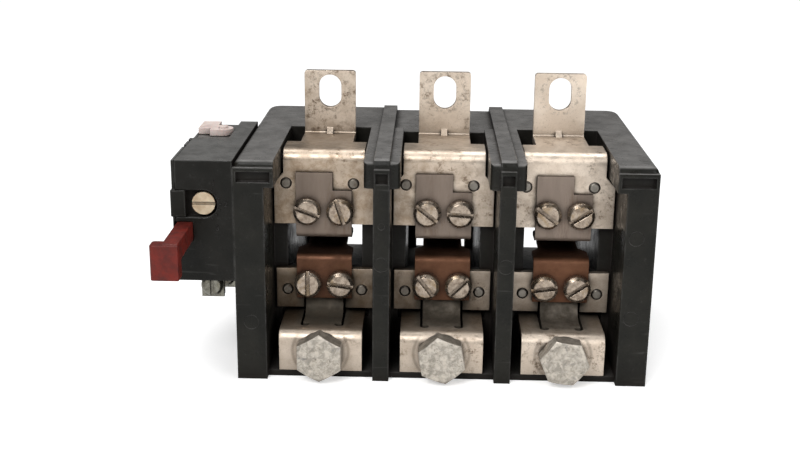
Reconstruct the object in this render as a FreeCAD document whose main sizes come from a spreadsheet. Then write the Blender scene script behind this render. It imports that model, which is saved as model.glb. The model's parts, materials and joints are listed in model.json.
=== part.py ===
"""Three-pole thermal overload relay for large contactors, as a parametric FreeCAD document.

Frame: X runs across the poles with 0 on the middle pole, Y runs back into the case with 0 on the
front face of the busbar plates, Z runs up with 0 on the underside of the case. Millimetres.
"""
import FreeCAD, Part
import Sketcher
import math
import os
import re

Vector = FreeCAD.Vector
POLES = (-1, 0, 1)

# Driving sizes. Every other length in the model is worked out from these.
SIZES = {
    # main moulding
    "pole_pitch": 45.0,
    "bay_width": 39.0,
    "end_wall": 11.0,
    "front_depth": 24.0,
    "back_depth": 80.0,
    "case_height": 83.2,
    "head_gap": 32.0,
    "head_drop": 9.6,
    "head_setback": 1.2,
    "head_radius": 2.0,
    "channel_width": 28.4,
    "channel_floor": 20.0,
    "channel_top": 74.0,
    "cross_wall": 5.4,
    "cross_wall_drop": 7.2,
    "bar_front": 36.0,
    "floor_height": 2.2,
    "floor_setback": 3.4,
    "rib_width": 5.6,
    "rib_rise": 1.2,
    "dip_depth": 1.5,
    "groove_drop": 7.7,
    "groove_height": 3.8,
    "groove_depth": 2.0,
    "groove_rim": 1.2,
    "bead_height": 1.6,
    "lip_setback": 0.8,
    "lip_radius": 2.1,
    "top_radius": 3.0,
    "back_radius": 6.0,
    # rear cover
    "cover_thick": 3.0,
    "cover_margin": 5.0,
    "window_width": 21.4,
    "window_height": 38.0,
    "cover_screw": 3.5,
    # sheet metal
    "busbar_thick": 2.6,
    "strap_thick": 1.5,
    "shelf_drop": 1.3,
    "line_plate_width": 37.6,
    "line_plate_bottom": 53.4,
    "shoulder_width": 30.5,
    "shoulder_depth": 14.8,
    "tab_width": 20.0,
    "tab_front": 30.6,
    "tab_rise": 24.7,
    "tab_slot_width": 8.8,
    "tab_slot_height": 12.9,
    "tab_slot_drop": 8.0,
    "bend_radius": 4.2,
    "load_plate_width": 36.8,
    "load_plate_top": 35.6,
    "load_plate_bottom": 19.8,
    "neck_width": 14.4,
    "neck_radius": 6.0,
    "load_shelf_top": 17.9,
    "ear_back": 4.0,
    "relief": 3.4,
    "relief_depth": 13.0,
    "ear_gap": 16.2,
    "terminal_width": 30.8,
    "terminal_front": 20.8,
    "terminal_bottom": 2.5,
    # heater strips and copper return straps
    "strip_width": 21.0,
    "strip_bottom": 48.2,
    "strip_length": 41.0,
    "heater_top": 73.6,
    "heater_notch_width": 7.2,
    "heater_notch_drop": 6.8,
    "strap_top": 41.6,
    "strap_bottom": 24.2,
    "strap_length": 30.0,
    "strip_tip_width": 15.0,
    # fasteners
    "strap_screw": 6.0,
    "strap_screw_head": 10.2,
    "strap_screw_rise": 3.4,
    "strap_screw_gap": 12.4,
    "screw_slot": 1.5,
    "line_screw_height": 59.0,
    "load_screw_height": 30.2,
    "rivet": 4.0,
    "rivet_ring": 0.2,
    "line_rivet_left": 14.3,
    "line_rivet_right": 11.1,
    "line_rivet_height": 69.2,
    "load_rivet_side": 14.2,
    "load_rivet_height": 27.1,
    "bolt": 10.0,
    "bolt_flats": 16.0,
    "bolt_head": 6.4,
    "bolt_height": 10.2,
    "bolt_length": 12.0,
    "washer": 15.6,
    "washer_thick": 1.6,
    "washer_split": 1.2,
    "gusset": 2.4,
    # trip shaft
    "trip_depth": 26.0,
    "trip_drop": 27.2,
    "trip_shaft": 6.0,
    "running_gap": 0.05,
    # side module
    "module_width": 21.7,
    "module_height": 44.8,
    "module_back": 43.5,
    "module_wall": 2.5,
    "module_front_wall": 6.0,
    "module_cover": 1.2,
    "flange_width": 4.9,
    "dial_side": 10.6,
    "dial_drop": 15.9,
    "dial": 8.3,
    "dial_recess": 10.2,
    "recess_depth": 3.2,
    "dial_shaft": 5.0,
    "reset_side": 14.7,
    "reset_width": 5.6,
    "reset_height": 6.8,
    "reset_drop": 22.8,
    "reset_reach": 27.0,
    "reset_head_width": 9.8,
    "reset_head_height": 12.5,
    "reset_head_depth": 6.0,
    "selector_side": 11.1,
    "selector_depth": 25.5,
    "selector_recess": 1.5,
    "selector_thick": 2.4,
    "terminal_screw": 4.0,
    "terminal_screw_head": 8.2,
    "terminal_tab_width": 8.4,
    "terminal_tab_drop": 10.0,
    "front_terminal": 10.0,
    "back_terminal_shift": 2.8,
    "terminal_spacing": 10.6,
    "contact_thick": 1.2,
    "contact_side": 10.5,
    "contact_depth": 1.5,
    "contact_reach": 7.5,
    "contact_drop": 32.4,
    "carrier_height": 7.2,
    "spring_stop": 33.5,
    "module_screw": 3.5,
    "play": 0.2,
}

# Angle of each strap screw's slot, pole by pole from the left, as the screws were last driven.
LINE_SLOT_ANGLES = (-20, -72, -38, -3, -37, 33)
LOAD_SLOT_ANGLES = (90, -8, -52, 45, 8, 35)
# Angle of each terminal bolt's hexagon, from a corner at the top.
BOLT_ANGLES = (0, 10, 22)

doc = FreeCAD.newDocument("thermal_overload_relay")
sheet = doc.addObject("Spreadsheet::Sheet", "Sizes")
for row, (alias, size) in enumerate(SIZES.items(), start=1):
    sheet.set(f"A{row}", alias)
    sheet.set(f"B{row}", str(size))
    sheet.setAlias(f"B{row}", alias)
doc.recompute()

WORD = re.compile(r"[a-z]+(?:_[a-z]+)*")


def formula(text):
    """The text with each alias written in full, as an expression needs it."""
    return WORD.sub(lambda word: "Sizes." + word[0] if word[0] in SIZES else word[0], str(text))


def amount(text):
    """The present value of a formula over the sheet."""
    return float(sheet.evalExpression(formula(text)))


def tie(thing, path, text):
    """Bind a property to the sheet."""
    thing.setExpression(path, formula(text))


# Places that several pieces share, as formulas over the sheet.
HALF_WIDTH = "(pole_pitch + bay_width / 2 + end_wall)"
HEAD_BOTTOM = "(case_height - head_drop)"
WALL_FRONT = "busbar_thick"
WALL_BACK = "(busbar_thick + cross_wall)"
SHELF_TOP = "(case_height - shelf_drop)"
TAB_TOP = "(case_height - shelf_drop + tab_rise)"
LOAD_SHELF_BOTTOM = "(load_shelf_top - busbar_thick)"
MODULE_RIGHT = f"(0 - {HALF_WIDTH})"
MODULE_LEFT = f"({MODULE_RIGHT} - module_width)"
CASE_LEFT = f"({MODULE_LEFT} + module_cover)"
MODULE_BOTTOM = "(case_height - module_height)"
CAVITY_TOP = "(case_height - selector_recess - module_wall)"
DIAL_X = f"({MODULE_RIGHT} - dial_side)"
DIAL_Z = "(case_height - dial_drop)"
RESET_TOP = "(case_height - reset_drop)"
SELECTOR_X = f"({MODULE_RIGHT} - selector_side)"
TRIP_Z = "(case_height - trip_drop)"
CONTACT_X = f"({MODULE_RIGHT} - contact_side)"
BRIDGE_TOP = "(case_height - contact_drop)"
TERMINAL_Z = f"({MODULE_BOTTOM} - terminal_tab_drop * 0.58)"
COVER_SCREW_SIDES = ("0 - pole_pitch / 2", "pole_pitch / 2")
COVER_SCREW_HEIGHTS = ("channel_floor + 4", "channel_top - 6")
MODULE_SCREW_PLACES = (("0 - 8", "case_height - 9"), ("module_back - 8", "case_height - 37"))


# --- shared modelling steps ---------------------------------------------------------------------

def new_body(label):
    body = doc.addObject("PartDesign::Body", label)
    body.Label = label
    return body


def sketch_on(body, plane, offset="0"):
    """A sketch on one of the body's own origin planes, moved along that plane's normal."""
    sketch = body.newObject("Sketcher::SketchObject", "outline")
    support = [item for item in body.Origin.OriginFeatures if item.Role == plane][0]
    sketch.AttachmentSupport = [(support, "")]
    sketch.MapMode = "FlatFace"
    tie(sketch, "AttachmentOffset.Base.z", offset)
    return sketch


def pin_point(sketch, geometry, end, across, up):
    """Hold one point of a sketch at two bound distances from its origin."""
    for kind, text in (("DistanceX", across), ("DistanceY", up)):
        index = sketch.addConstraint(
            Sketcher.Constraint(kind, -1, 1, geometry, end, amount(text)))
        tie(sketch, f"Constraints[{index}]", text)


def add_outline(sketch, corners):
    """A closed outline of straight lines through the corners."""
    points = [Vector(amount(across), amount(up), 0) for across, up in corners]
    first = sketch.GeometryCount
    for start, end in zip(points, points[1:] + points[:1]):
        sketch.addGeometry(Part.LineSegment(start, end), False)
    for index, (across, up) in enumerate(corners):
        previous = first + (index - 1) % len(corners)
        sketch.addConstraint(Sketcher.Constraint("Coincident", previous, 2, first + index, 1))
        pin_point(sketch, first + index, 1, across, up)


def add_rectangle(sketch, left, right, low, high):
    add_outline(sketch, [(left, low), (right, low), (right, high), (left, high)])


def add_circle(sketch, across, up, radius):
    centre = Vector(amount(across), amount(up), 0)
    index = sketch.addGeometry(Part.Circle(centre, Vector(0, 0, 1), amount(radius)), False)
    pin_point(sketch, index, 3, across, up)
    size = sketch.addConstraint(Sketcher.Constraint("Radius", index, amount(radius)))
    tie(sketch, f"Constraints[{size}]", radius)


def add_slot(sketch, across, up, width, height):
    """An upright slot with round ends, centred on a point."""
    radius = f"({width}) / 2"
    reach = f"(({height}) - ({width})) / 2"
    x, z, r, d = amount(across), amount(up), amount(radius), amount(reach)
    upper = sketch.addGeometry(
        Part.ArcOfCircle(Part.Circle(Vector(x, z + d, 0), Vector(0, 0, 1), r), 0, math.pi), False)
    lower = sketch.addGeometry(
        Part.ArcOfCircle(Part.Circle(Vector(x, z - d, 0), Vector(0, 0, 1), r), math.pi, 0), False)
    left = sketch.addGeometry(
        Part.LineSegment(Vector(x - r, z + d, 0), Vector(x - r, z - d, 0)), False)
    right = sketch.addGeometry(
        Part.LineSegment(Vector(x + r, z - d, 0), Vector(x + r, z + d, 0)), False)
    for first, first_end, second, second_end in (
            (upper, 2, left, 1), (left, 2, lower, 1), (lower, 2, right, 1), (right, 2, upper, 1)):
        sketch.addConstraint(
            Sketcher.Constraint("Tangent", first, first_end, second, second_end))
    size = sketch.addConstraint(Sketcher.Constraint("Radius", upper, r))
    tie(sketch, f"Constraints[{size}]", radius)
    pin_point(sketch, upper, 3, across, f"({up}) + {reach}")
    pin_point(sketch, lower, 3, across, f"({up}) - {reach}")


def extrude(kind, body, sketch, length, both=False, flip=False):
    """Pad or Pocket of a bound length; no length means right through, both ways."""
    feature = body.newObject(f"PartDesign::{kind}", kind.lower())
    feature.Profile = sketch
    if length is None:
        feature.Type = "ThroughAll"
        feature.SideType = "Symmetric"
    else:
        tie(feature, "Length", length)
        feature.SideType = "Symmetric" if both else "One side"
        feature.Reversed = flip
    sketch.Visibility = False
    body.Tip = feature
    doc.recompute()
    return feature


def pad(body, sketch, length, both=False, flip=False):
    return extrude("Pad", body, sketch, length, both, flip)


def pocket(body, sketch, length=None, both=False, flip=False):
    return extrude("Pocket", body, sketch, length, both, flip)


def repeat(body, features, count, spacing):
    """Repeat features along X."""
    pattern = body.newObject("PartDesign::LinearPattern", "row")
    pattern.Originals = features
    axis = [item for item in body.Origin.OriginFeatures if item.Role == "X_Axis"][0]
    pattern.Direction = (axis, [""])
    tie(pattern, "Length", f"{count - 1} * ({spacing})")
    pattern.Occurrences = count
    body.Tip = pattern
    doc.recompute()
    return pattern


def round_edges(body, places, radius):
    """Fillet the straight edges that run along an axis through the given places.

    Each place is (axis, first, second), where first and second are the other two coordinates.
    """
    base = body.Tip
    found = []
    for number, edge in enumerate(base.Shape.Edges, start=1):
        if len(edge.Vertexes) != 2 or not isinstance(edge.Curve, Part.Line):
            continue
        start, end = edge.Vertexes[0].Point, edge.Vertexes[1].Point
        for axis, first, second in places:
            along = "XYZ".index(axis)
            others = [item for item in range(3) if item != along]
            goal = (amount(first), amount(second))
            if abs(start[along] - end[along]) < 0.01:
                continue
            if all(abs(point[item] - want) < 0.01
                   for point in (start, end) for item, want in zip(others, goal)):
                found.append(f"Edge{number}")
    fillet = body.newObject("PartDesign::Fillet", "round")
    fillet.Base = (base, sorted(set(found)))
    tie(fillet, "Radius", radius)
    body.Tip = fillet
    doc.recompute()
    return fillet


def place(thing, x="0", y="0", z="0"):
    for axis, text in zip("xyz", (x, y, z)):
        tie(thing, f"Placement.Base.{axis}", text)


def block(x, y, z, length, width, height):
    """A box from its low corner."""
    box = doc.addObject("Part::Box", "block")
    tie(box, "Length", length)
    tie(box, "Width", width)
    tie(box, "Height", height)
    place(box, x, y, z)
    return box


AXES = {
    "X": FreeCAD.Rotation(Vector(0, 1, 0), 90),
    "Y": FreeCAD.Rotation(Vector(1, 0, 0), -90),
    "Z": FreeCAD.Rotation(),
}


def rod(axis, x, y, z, radius, length):
    """A cylinder that runs from a point along a positive axis."""
    cylinder = doc.addObject("Part::Cylinder", "rod")
    tie(cylinder, "Radius", radius)
    tie(cylinder, "Height", length)
    cylinder.Placement = FreeCAD.Placement(Vector(), AXES[axis])
    place(cylinder, x, y, z)
    return cylinder


def cone(x, y, z, back_radius, front_radius, length):
    """A cone whose front faces -Y: it runs forward from its back radius to its front radius."""
    shape = doc.addObject("Part::Cone", "cone")
    tie(shape, "Radius1", front_radius)
    tie(shape, "Radius2", back_radius)
    tie(shape, "Height", length)
    shape.Placement = FreeCAD.Placement(Vector(), AXES["Y"])
    place(shape, x, y, z)
    return shape


def fuse(*shapes):
    joined = doc.addObject("Part::MultiFuse", "joined")
    joined.Shapes = list(shapes)
    joined.Refine = True
    return joined


def cut(base, *tools):
    result = doc.addObject("Part::Cut", "remainder")
    result.Base = base
    result.Tool = tools[0] if len(tools) == 1 else fuse(*tools)
    return result


def group(label, shapes):
    """Separate solids that share one node."""
    if len(shapes) == 1:
        shapes[0].Label = label
        return shapes[0]
    gathered = doc.addObject("Part::Compound", label)
    gathered.Links = shapes
    gathered.Label = label
    return gathered


def pole_x(pole):
    return f"{pole} * pole_pitch"


NODES = []


def keep(node):
    NODES.append(node)
    return node


# --- main moulding ------------------------------------------------------------------------------

def case_profile(body):
    """Side profile with the bead below the top front edge, run across all the poles."""
    front = "(0 - front_depth)"
    lip = f"({front} + lip_setback)"
    bead_top = "(case_height - groove_drop + groove_height + bead_height)"
    sketch = sketch_on(body, "YZ_Plane")
    add_outline(sketch, [
        (front, "0"),
        ("back_depth", "0"),
        ("back_depth", "case_height"),
        (lip, "case_height"),
        (lip, bead_top),
        (front, bead_top),
    ])
    pad(body, sketch, f"2 * {HALF_WIDTH}", both=True)
    sides = (HALF_WIDTH, MODULE_RIGHT)
    round_edges(body, [("Z", side, "back_depth") for side in sides], "back_radius")
    round_edges(body, [("X", "back_depth", "case_height")], "top_radius")
    round_edges(body, [("X", lip, "case_height")], "lip_radius")
    round_edges(body, [("X", front, bead_top)], "lip_setback * 0.9")


def case_bays(body):
    """Open bays in front of the busbars, with the wider slot between the divider heads above."""
    first = "(0 - pole_pitch)"
    bay = sketch_on(body, "XZ_Plane", "front_depth")
    add_rectangle(bay, f"{first} - bay_width / 2", f"{first} + bay_width / 2",
                  "floor_height", HEAD_BOTTOM)
    bay_cut = pocket(body, bay, f"front_depth + {WALL_FRONT}")
    slot = sketch_on(body, "XY_Plane", "case_height")
    add_rectangle(slot, f"{first} - head_gap / 2", f"{first} + head_gap / 2",
                  "0 - front_depth - 1", WALL_FRONT)
    slot_cut = pocket(body, slot, "head_drop")
    step = sketch_on(body, "XZ_Plane", "front_depth")
    add_rectangle(step, f"{first} - bay_width / 2", f"{first} + bay_width / 2",
                  "0", "floor_height")
    step_cut = pocket(body, step, "floor_setback")
    repeat(body, [bay_cut, slot_cut, step_cut], 3, "pole_pitch")


def case_heads(body):
    """Heads of the walls: a recess below each bead, and shoulders set back beside the dividers."""
    low = "(case_height - groove_drop)"
    outer, inner = f"({HALF_WIDTH} - groove_rim)", "(pole_pitch + head_gap / 2 + groove_rim)"
    ends = sketch_on(body, "XZ_Plane", "front_depth")
    for sign in ("-1", "1"):
        add_rectangle(ends, f"{sign} * {outer}", f"{sign} * {inner}", low, f"{low} + groove_height")
    pocket(body, ends, "groove_depth")
    centre = "(0 - pole_pitch / 2)"
    wide, narrow = "((pole_pitch - head_gap) / 2)", "(rib_width / 2)"
    shoulders = sketch_on(body, "XZ_Plane", "front_depth")
    for sign in ("-1", "1"):
        add_rectangle(shoulders, f"{centre} + {sign} * {narrow}",
                      f"{centre} + {sign} * ({wide} + 1)", f"{HEAD_BOTTOM} - 0.1",
                      "case_height + 1")
    shoulder_cut = pocket(body, shoulders, "head_setback")
    groove = sketch_on(body, "XZ_Plane", "front_depth")
    reach = f"({narrow} - groove_rim / 2)"
    add_rectangle(groove, f"{centre} - {reach}", f"{centre} + {reach}",
                  low, f"{low} + groove_height")
    groove_cut = pocket(body, groove, "groove_depth")
    repeat(body, [shoulder_cut, groove_cut], 2, "pole_pitch")
    corners = [("Z", f"{sign} * (pole_pitch / 2) + {side} * {wide}", "head_setback - front_depth")
               for sign in ("-1", "1") for side in ("-1", "1")]
    round_edges(body, corners, "head_radius")


def case_channels(body):
    """Channels behind the busbars that hold the heater strips and open through the back."""
    first = "(0 - pole_pitch)"
    left, right = f"{first} - channel_width / 2", f"{first} + channel_width / 2"
    shelf = sketch_on(body, "XY_Plane", "case_height")
    add_rectangle(shelf, f"{first} - head_gap / 2", f"{first} + head_gap / 2",
                  f"{WALL_FRONT} - 1", "bar_front")
    shelf_cut = pocket(body, shelf, "cross_wall_drop")
    well = sketch_on(body, "XY_Plane", "case_height")
    add_rectangle(well, left, right, WALL_BACK, "bar_front")
    well_cut = pocket(body, well, "case_height - channel_floor")
    rear = sketch_on(body, "XZ_Plane", "0 - back_depth")
    add_rectangle(rear, left, right, "channel_floor", "channel_top")
    rear_cut = pocket(body, rear, f"back_depth - {WALL_BACK}", flip=True)
    mouth = sketch_on(body, "XZ_Plane", f"0 - {WALL_FRONT}")
    add_rectangle(mouth, left, right, "load_plate_top - 1", "line_plate_bottom")
    mouth_cut = pocket(body, mouth, "cross_wall")
    repeat(body, [shelf_cut, well_cut, rear_cut, mouth_cut], 3, "pole_pitch")


def case_pedestals(body):
    """Blocks under the load terminals, each with a pocket for the bolt's thread."""
    first = "(0 - pole_pitch)"
    half = "(terminal_width / 2 - 1)"
    front = "(busbar_thick - terminal_front)"
    corner = "(bend_radius - busbar_thick)"
    seat = sketch_on(body, "YZ_Plane", first)
    add_outline(seat, [
        (front, "0"),
        (WALL_FRONT, "0"),
        (WALL_FRONT, LOAD_SHELF_BOTTOM),
        (f"{front} + {corner}", LOAD_SHELF_BOTTOM),
        (front, f"{LOAD_SHELF_BOTTOM} - {corner}"),
    ])
    seat_pad = pad(body, seat, f"2 * {half}", both=True)
    thread = sketch_on(body, "XZ_Plane", f"0 - {front}")
    add_rectangle(thread, f"{first} - bolt / 2 - 0.7", f"{first} + bolt / 2 + 0.7",
                  "bolt_height - bolt / 2 - 0.7", f"{LOAD_SHELF_BOTTOM}")
    thread_cut = pocket(body, thread, "bolt_length")
    ear = sketch_on(body, "XY_Plane", "load_plate_bottom")
    add_rectangle(ear, f"{first} - terminal_width / 2 - 1.4", f"{first} + terminal_width / 2 + 1.4",
                  f"{WALL_FRONT} - 1", "ear_back + 0.4")
    ear_cut = pocket(body, ear, f"load_plate_bottom - {LOAD_SHELF_BOTTOM}")
    repeat(body, [seat_pad, thread_cut, ear_cut], 3, "pole_pitch")


def case_ribs(body):
    """A rib along the top of each divider, and the lower back edge of the middle pole."""
    front, back = "(lip_setback - front_depth)", "(back_depth - top_radius)"
    rib_top, root = "(case_height + rib_rise)", "(case_height - bead_height)"
    rib = sketch_on(body, "YZ_Plane", "0 - pole_pitch / 2")
    add_outline(rib, [
        (front, root),
        (back, root),
        (back, "case_height"),
        (f"{back} - rib_rise", rib_top),
        (f"{front} + lip_radius", rib_top),
        (f"{front} + lip_radius / 3", f"{rib_top} - lip_radius / 3"),
        (front, f"{rib_top} - lip_radius"),
    ])
    rib_pad = pad(body, rib, "rib_width", both=True)
    repeat(body, [rib_pad], 2, "pole_pitch")
    dip = sketch_on(body, "XZ_Plane", "0 - back_depth")
    half = "(pole_pitch / 2 - rib_width / 2)"
    add_rectangle(dip, f"0 - {half}", half, "case_height - dip_depth", "case_height + 1")
    pocket(body, dip, "back_depth - bar_front", flip=True)


def case_drillings(body):
    """Bores for the trip shaft, rivets and screws."""
    shaft = sketch_on(body, "YZ_Plane", MODULE_RIGHT)
    add_circle(shaft, "trip_depth", TRIP_Z, "trip_shaft / 2 + running_gap")
    pocket(body, shaft, f"2 * {HALF_WIDTH} - end_wall / 2", flip=True)
    module_holes = sketch_on(body, "YZ_Plane", MODULE_RIGHT)
    for depth, height in MODULE_SCREW_PLACES:
        add_circle(module_holes, depth, height, "module_screw / 2 + running_gap")
    pocket(body, module_holes, "8", flip=True)
    first = "(0 - pole_pitch)"
    holes = sketch_on(body, "XZ_Plane", f"0 - {WALL_FRONT}")
    for side, height in (
            ("0 - line_rivet_left", "line_rivet_height"),
            ("line_rivet_right", "line_rivet_height"),
            ("0 - load_rivet_side", "load_rivet_height"),
            ("load_rivet_side", "load_rivet_height")):
        add_circle(holes, f"{first} + {side}", height, "rivet / 2 + running_gap")
    for side in ("0 - strap_screw_gap / 2", "strap_screw_gap / 2"):
        for height in ("line_screw_height", "load_screw_height"):
            add_circle(holes, f"{first} + {side}", height, "strap_screw / 2 + 0.5")
    hole_cut = pocket(body, holes, "cross_wall - 1.2")
    repeat(body, [hole_cut], 3, "pole_pitch")


def case_rear(body):
    """Rebate for the rear cover with four screw holes."""
    half = "(pole_pitch + channel_width / 2 + cover_margin)"
    low, high = "(channel_floor - cover_margin)", "(channel_top + cover_margin / 2)"
    rebate = sketch_on(body, "XZ_Plane", "0 - back_depth")
    add_rectangle(rebate, f"0 - {half}", half, low, high)
    pocket(body, rebate, "cover_thick", flip=True)
    holes = sketch_on(body, "XZ_Plane", "cover_thick - back_depth")
    for side in COVER_SCREW_SIDES:
        for height in COVER_SCREW_HEIGHTS:
            add_circle(holes, side, height, "cover_screw / 2 + running_gap")
    pocket(body, holes, "8", flip=True)


def make_housing():
    body = new_body("housing")
    case_profile(body)
    case_bays(body)
    case_heads(body)
    case_channels(body)
    case_pedestals(body)
    case_ribs(body)
    case_rear(body)
    case_drillings(body)
    return body


def make_rear_cover():
    body = new_body("rear_cover")
    half = "(pole_pitch + channel_width / 2 + cover_margin - play)"
    low = "(channel_floor - cover_margin + play)"
    high = "(channel_top + cover_margin / 2 - play)"
    plate = sketch_on(body, "XZ_Plane", "0 - back_depth")
    add_rectangle(plate, f"0 - {half}", half, low, high)
    pad(body, plate, "cover_thick")
    first = "(0 - pole_pitch)"
    window = sketch_on(body, "XZ_Plane", "0 - back_depth")
    add_rectangle(window, f"{first} - window_width / 2", f"{first} + window_width / 2",
                  "channel_floor", "channel_floor + window_height")
    window_cut = pocket(body, window, "cover_thick", flip=True)
    repeat(body, [window_cut], 3, "pole_pitch")
    holes = sketch_on(body, "XZ_Plane", "0 - back_depth")
    for side in COVER_SCREW_SIDES:
        for height in COVER_SCREW_HEIGHTS:
            add_circle(holes, side, height, "cover_screw / 2 + play")
    pocket(body, holes, "cover_thick", flip=True)
    return body


def make_rear_cover_screws():
    screws = []
    for side in COVER_SCREW_SIDES:
        for height in COVER_SCREW_HEIGHTS:
            shank = rod("Y", side, "back_depth - cover_thick - 6.5", height,
                        "cover_screw / 2", "cover_thick + 6.5")
            head = rod("Y", side, "back_depth", height, "cover_screw", "1.8")
            slot = block(f"{side} - cover_screw", "back_depth + 1", f"{height} - 0.5",
                         "2 * cover_screw", "2", "1")
            screws.append(cut(fuse(shank, head), slot))
    return group("rear_cover_screws", screws)


# --- current path -------------------------------------------------------------------------------

def make_line_busbar(pole):
    """Contactor tab, shelf and front plate, bent from one strip."""
    body = new_body(f"line_busbar_{pole + 2}")
    tab_back = "(tab_front + busbar_thick)"
    shelf_bottom = f"({SHELF_TOP} - busbar_thick)"
    side = sketch_on(body, "YZ_Plane")
    add_outline(side, [
        ("0", "line_plate_bottom"),
        ("busbar_thick", "line_plate_bottom"),
        ("busbar_thick", shelf_bottom),
        (tab_back, shelf_bottom),
        (tab_back, TAB_TOP),
        ("tab_front", TAB_TOP),
        ("tab_front", SHELF_TOP),
        ("0", SHELF_TOP),
    ])
    pad(body, side, "line_plate_width", both=True)
    wide, shoulder, narrow = "(line_plate_width / 2)", "(shoulder_width / 2)", "(tab_width / 2)"
    widening = f"({HEAD_BOTTOM} - 0.4)"
    front = sketch_on(body, "XZ_Plane")
    for sign in ("-1", "1"):
        add_outline(front, [
            (f"{sign} * ({wide} + 1)", f"{widening} - 4"),
            (f"{sign} * {wide}", f"{widening} - 4"),
            (f"{sign} * {shoulder}", widening),
            (f"{sign} * {shoulder}", f"{SHELF_TOP} + 1"),
            (f"{sign} * {narrow}", f"{SHELF_TOP} + 1"),
            (f"{sign} * {narrow}", f"{TAB_TOP} + 1"),
            (f"{sign} * ({wide} + 1)", f"{TAB_TOP} + 1"),
        ])
    pocket(body, front)
    top = sketch_on(body, "XY_Plane", TAB_TOP)
    for sign in ("-1", "1"):
        add_rectangle(top, f"{sign} * {narrow}", f"{sign} * ({wide} + 1)",
                      "shoulder_depth", f"{tab_back} + 1")
    pocket(body, top, "tab_rise + busbar_thick + 1")
    slot = sketch_on(body, "XZ_Plane", "0 - tab_front + 1")
    add_slot(slot, "0", f"{TAB_TOP} - tab_slot_drop", "tab_slot_width", "tab_slot_height")
    pocket(body, slot, "busbar_thick + 2")
    holes = sketch_on(body, "XZ_Plane")
    add_circle(holes, "0 - line_rivet_left", "line_rivet_height", "rivet / 2 + rivet_ring")
    add_circle(holes, "line_rivet_right", "line_rivet_height", "rivet / 2 + rivet_ring")
    for sign in ("-1", "1"):
        add_circle(holes, f"{sign} * strap_screw_gap / 2", "line_screw_height",
                   "strap_screw / 2 + running_gap")
    pocket(body, holes, "busbar_thick")
    round_edges(body, [("X", "0", SHELF_TOP)], "bend_radius")
    round_edges(body, [("X", "busbar_thick", shelf_bottom)], "bend_radius - busbar_thick")
    round_edges(body, [("X", "tab_front", SHELF_TOP)], "busbar_thick / 4")
    round_edges(body, [("X", tab_back, shelf_bottom)], "busbar_thick")
    round_edges(body, [("Y", f"0 - {narrow}", TAB_TOP), ("Y", narrow, TAB_TOP)], "1.2")
    dimple = sketch_on(body, "YZ_Plane")
    add_outline(dimple, [
        (f"tab_front - gusset", f"{SHELF_TOP} - 0.2"),
        ("tab_front + 0.2", f"{SHELF_TOP} - 0.2"),
        ("tab_front + 0.2", f"{SHELF_TOP} + gusset"),
    ])
    pad(body, dimple, "gusset", both=True)
    place(body, pole_x(pole))
    return body


def make_load_busbar(pole):
    """Plate, neck, shelf with ears and bolted terminal face, bent from one strip."""
    body = new_body(f"load_busbar_{pole + 2}")
    front = "(0 - terminal_front)"
    inner = "(busbar_thick - terminal_front)"
    root = "(0 - relief_depth)"
    shelf = sketch_on(body, "YZ_Plane")
    add_outline(shelf, [
        (front, "terminal_bottom"),
        (inner, "terminal_bottom"),
        (inner, LOAD_SHELF_BOTTOM),
        ("ear_back", LOAD_SHELF_BOTTOM),
        ("ear_back", "load_shelf_top"),
        (front, "load_shelf_top"),
    ])
    pad(body, shelf, "terminal_width", both=True)
    round_edges(body, [("X", front, "load_shelf_top")], "bend_radius")
    round_edges(body, [("X", inner, LOAD_SHELF_BOTTOM)], "bend_radius - busbar_thick")
    gap = sketch_on(body, "XY_Plane", "load_shelf_top")
    add_rectangle(gap, "0 - ear_gap / 2", "ear_gap / 2", root, "ear_back + 1")
    pocket(body, gap, "busbar_thick")
    neck = sketch_on(body, "YZ_Plane")
    add_outline(neck, [
        (f"{root} - 1", LOAD_SHELF_BOTTOM),
        ("busbar_thick", LOAD_SHELF_BOTTOM),
        ("busbar_thick", "load_plate_top"),
        ("0", "load_plate_top"),
        ("0", "load_shelf_top"),
        (f"{root} - 1", "load_shelf_top"),
    ])
    pad(body, neck, "neck_width", both=True)
    round_edges(body, [("X", "0", "load_shelf_top")], "neck_radius")
    round_edges(body, [("X", "busbar_thick", LOAD_SHELF_BOTTOM)], "neck_radius + busbar_thick")
    plate = sketch_on(body, "XZ_Plane", "0 - busbar_thick")
    wide, slit = "(load_plate_width / 2)", "(ear_gap / 2)"
    add_outline(plate, [
        (f"0 - {wide}", "load_plate_bottom"),
        (f"0 - {slit}", "load_plate_bottom"),
        (f"0 - {slit}", "load_shelf_top + neck_radius"),
        (slit, "load_shelf_top + neck_radius"),
        (slit, "load_plate_bottom"),
        (wide, "load_plate_bottom"),
        (wide, "load_plate_top"),
        (f"0 - {wide}", "load_plate_top"),
    ])
    pad(body, plate, "busbar_thick")
    reliefs = sketch_on(body, "XY_Plane", "load_shelf_top")
    for sign in ("-1", "1"):
        add_circle(reliefs, f"{sign} * (ear_gap - relief) / 2", root, "relief / 2")
    pocket(body, reliefs, "busbar_thick")
    holes = sketch_on(body, "XZ_Plane")
    for sign in ("-1", "1"):
        add_circle(holes, f"{sign} * load_rivet_side", "load_rivet_height",
                   "rivet / 2 + rivet_ring")
        add_circle(holes, f"{sign} * strap_screw_gap / 2", "load_screw_height",
                   "strap_screw / 2 + running_gap")
    pocket(body, holes, "busbar_thick")
    thread = sketch_on(body, "XZ_Plane", "terminal_front")
    add_circle(thread, "0", "bolt_height", "bolt / 2 + running_gap")
    pocket(body, thread, "bend_radius + 1")
    place(body, pole_x(pole))
    return body


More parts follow.
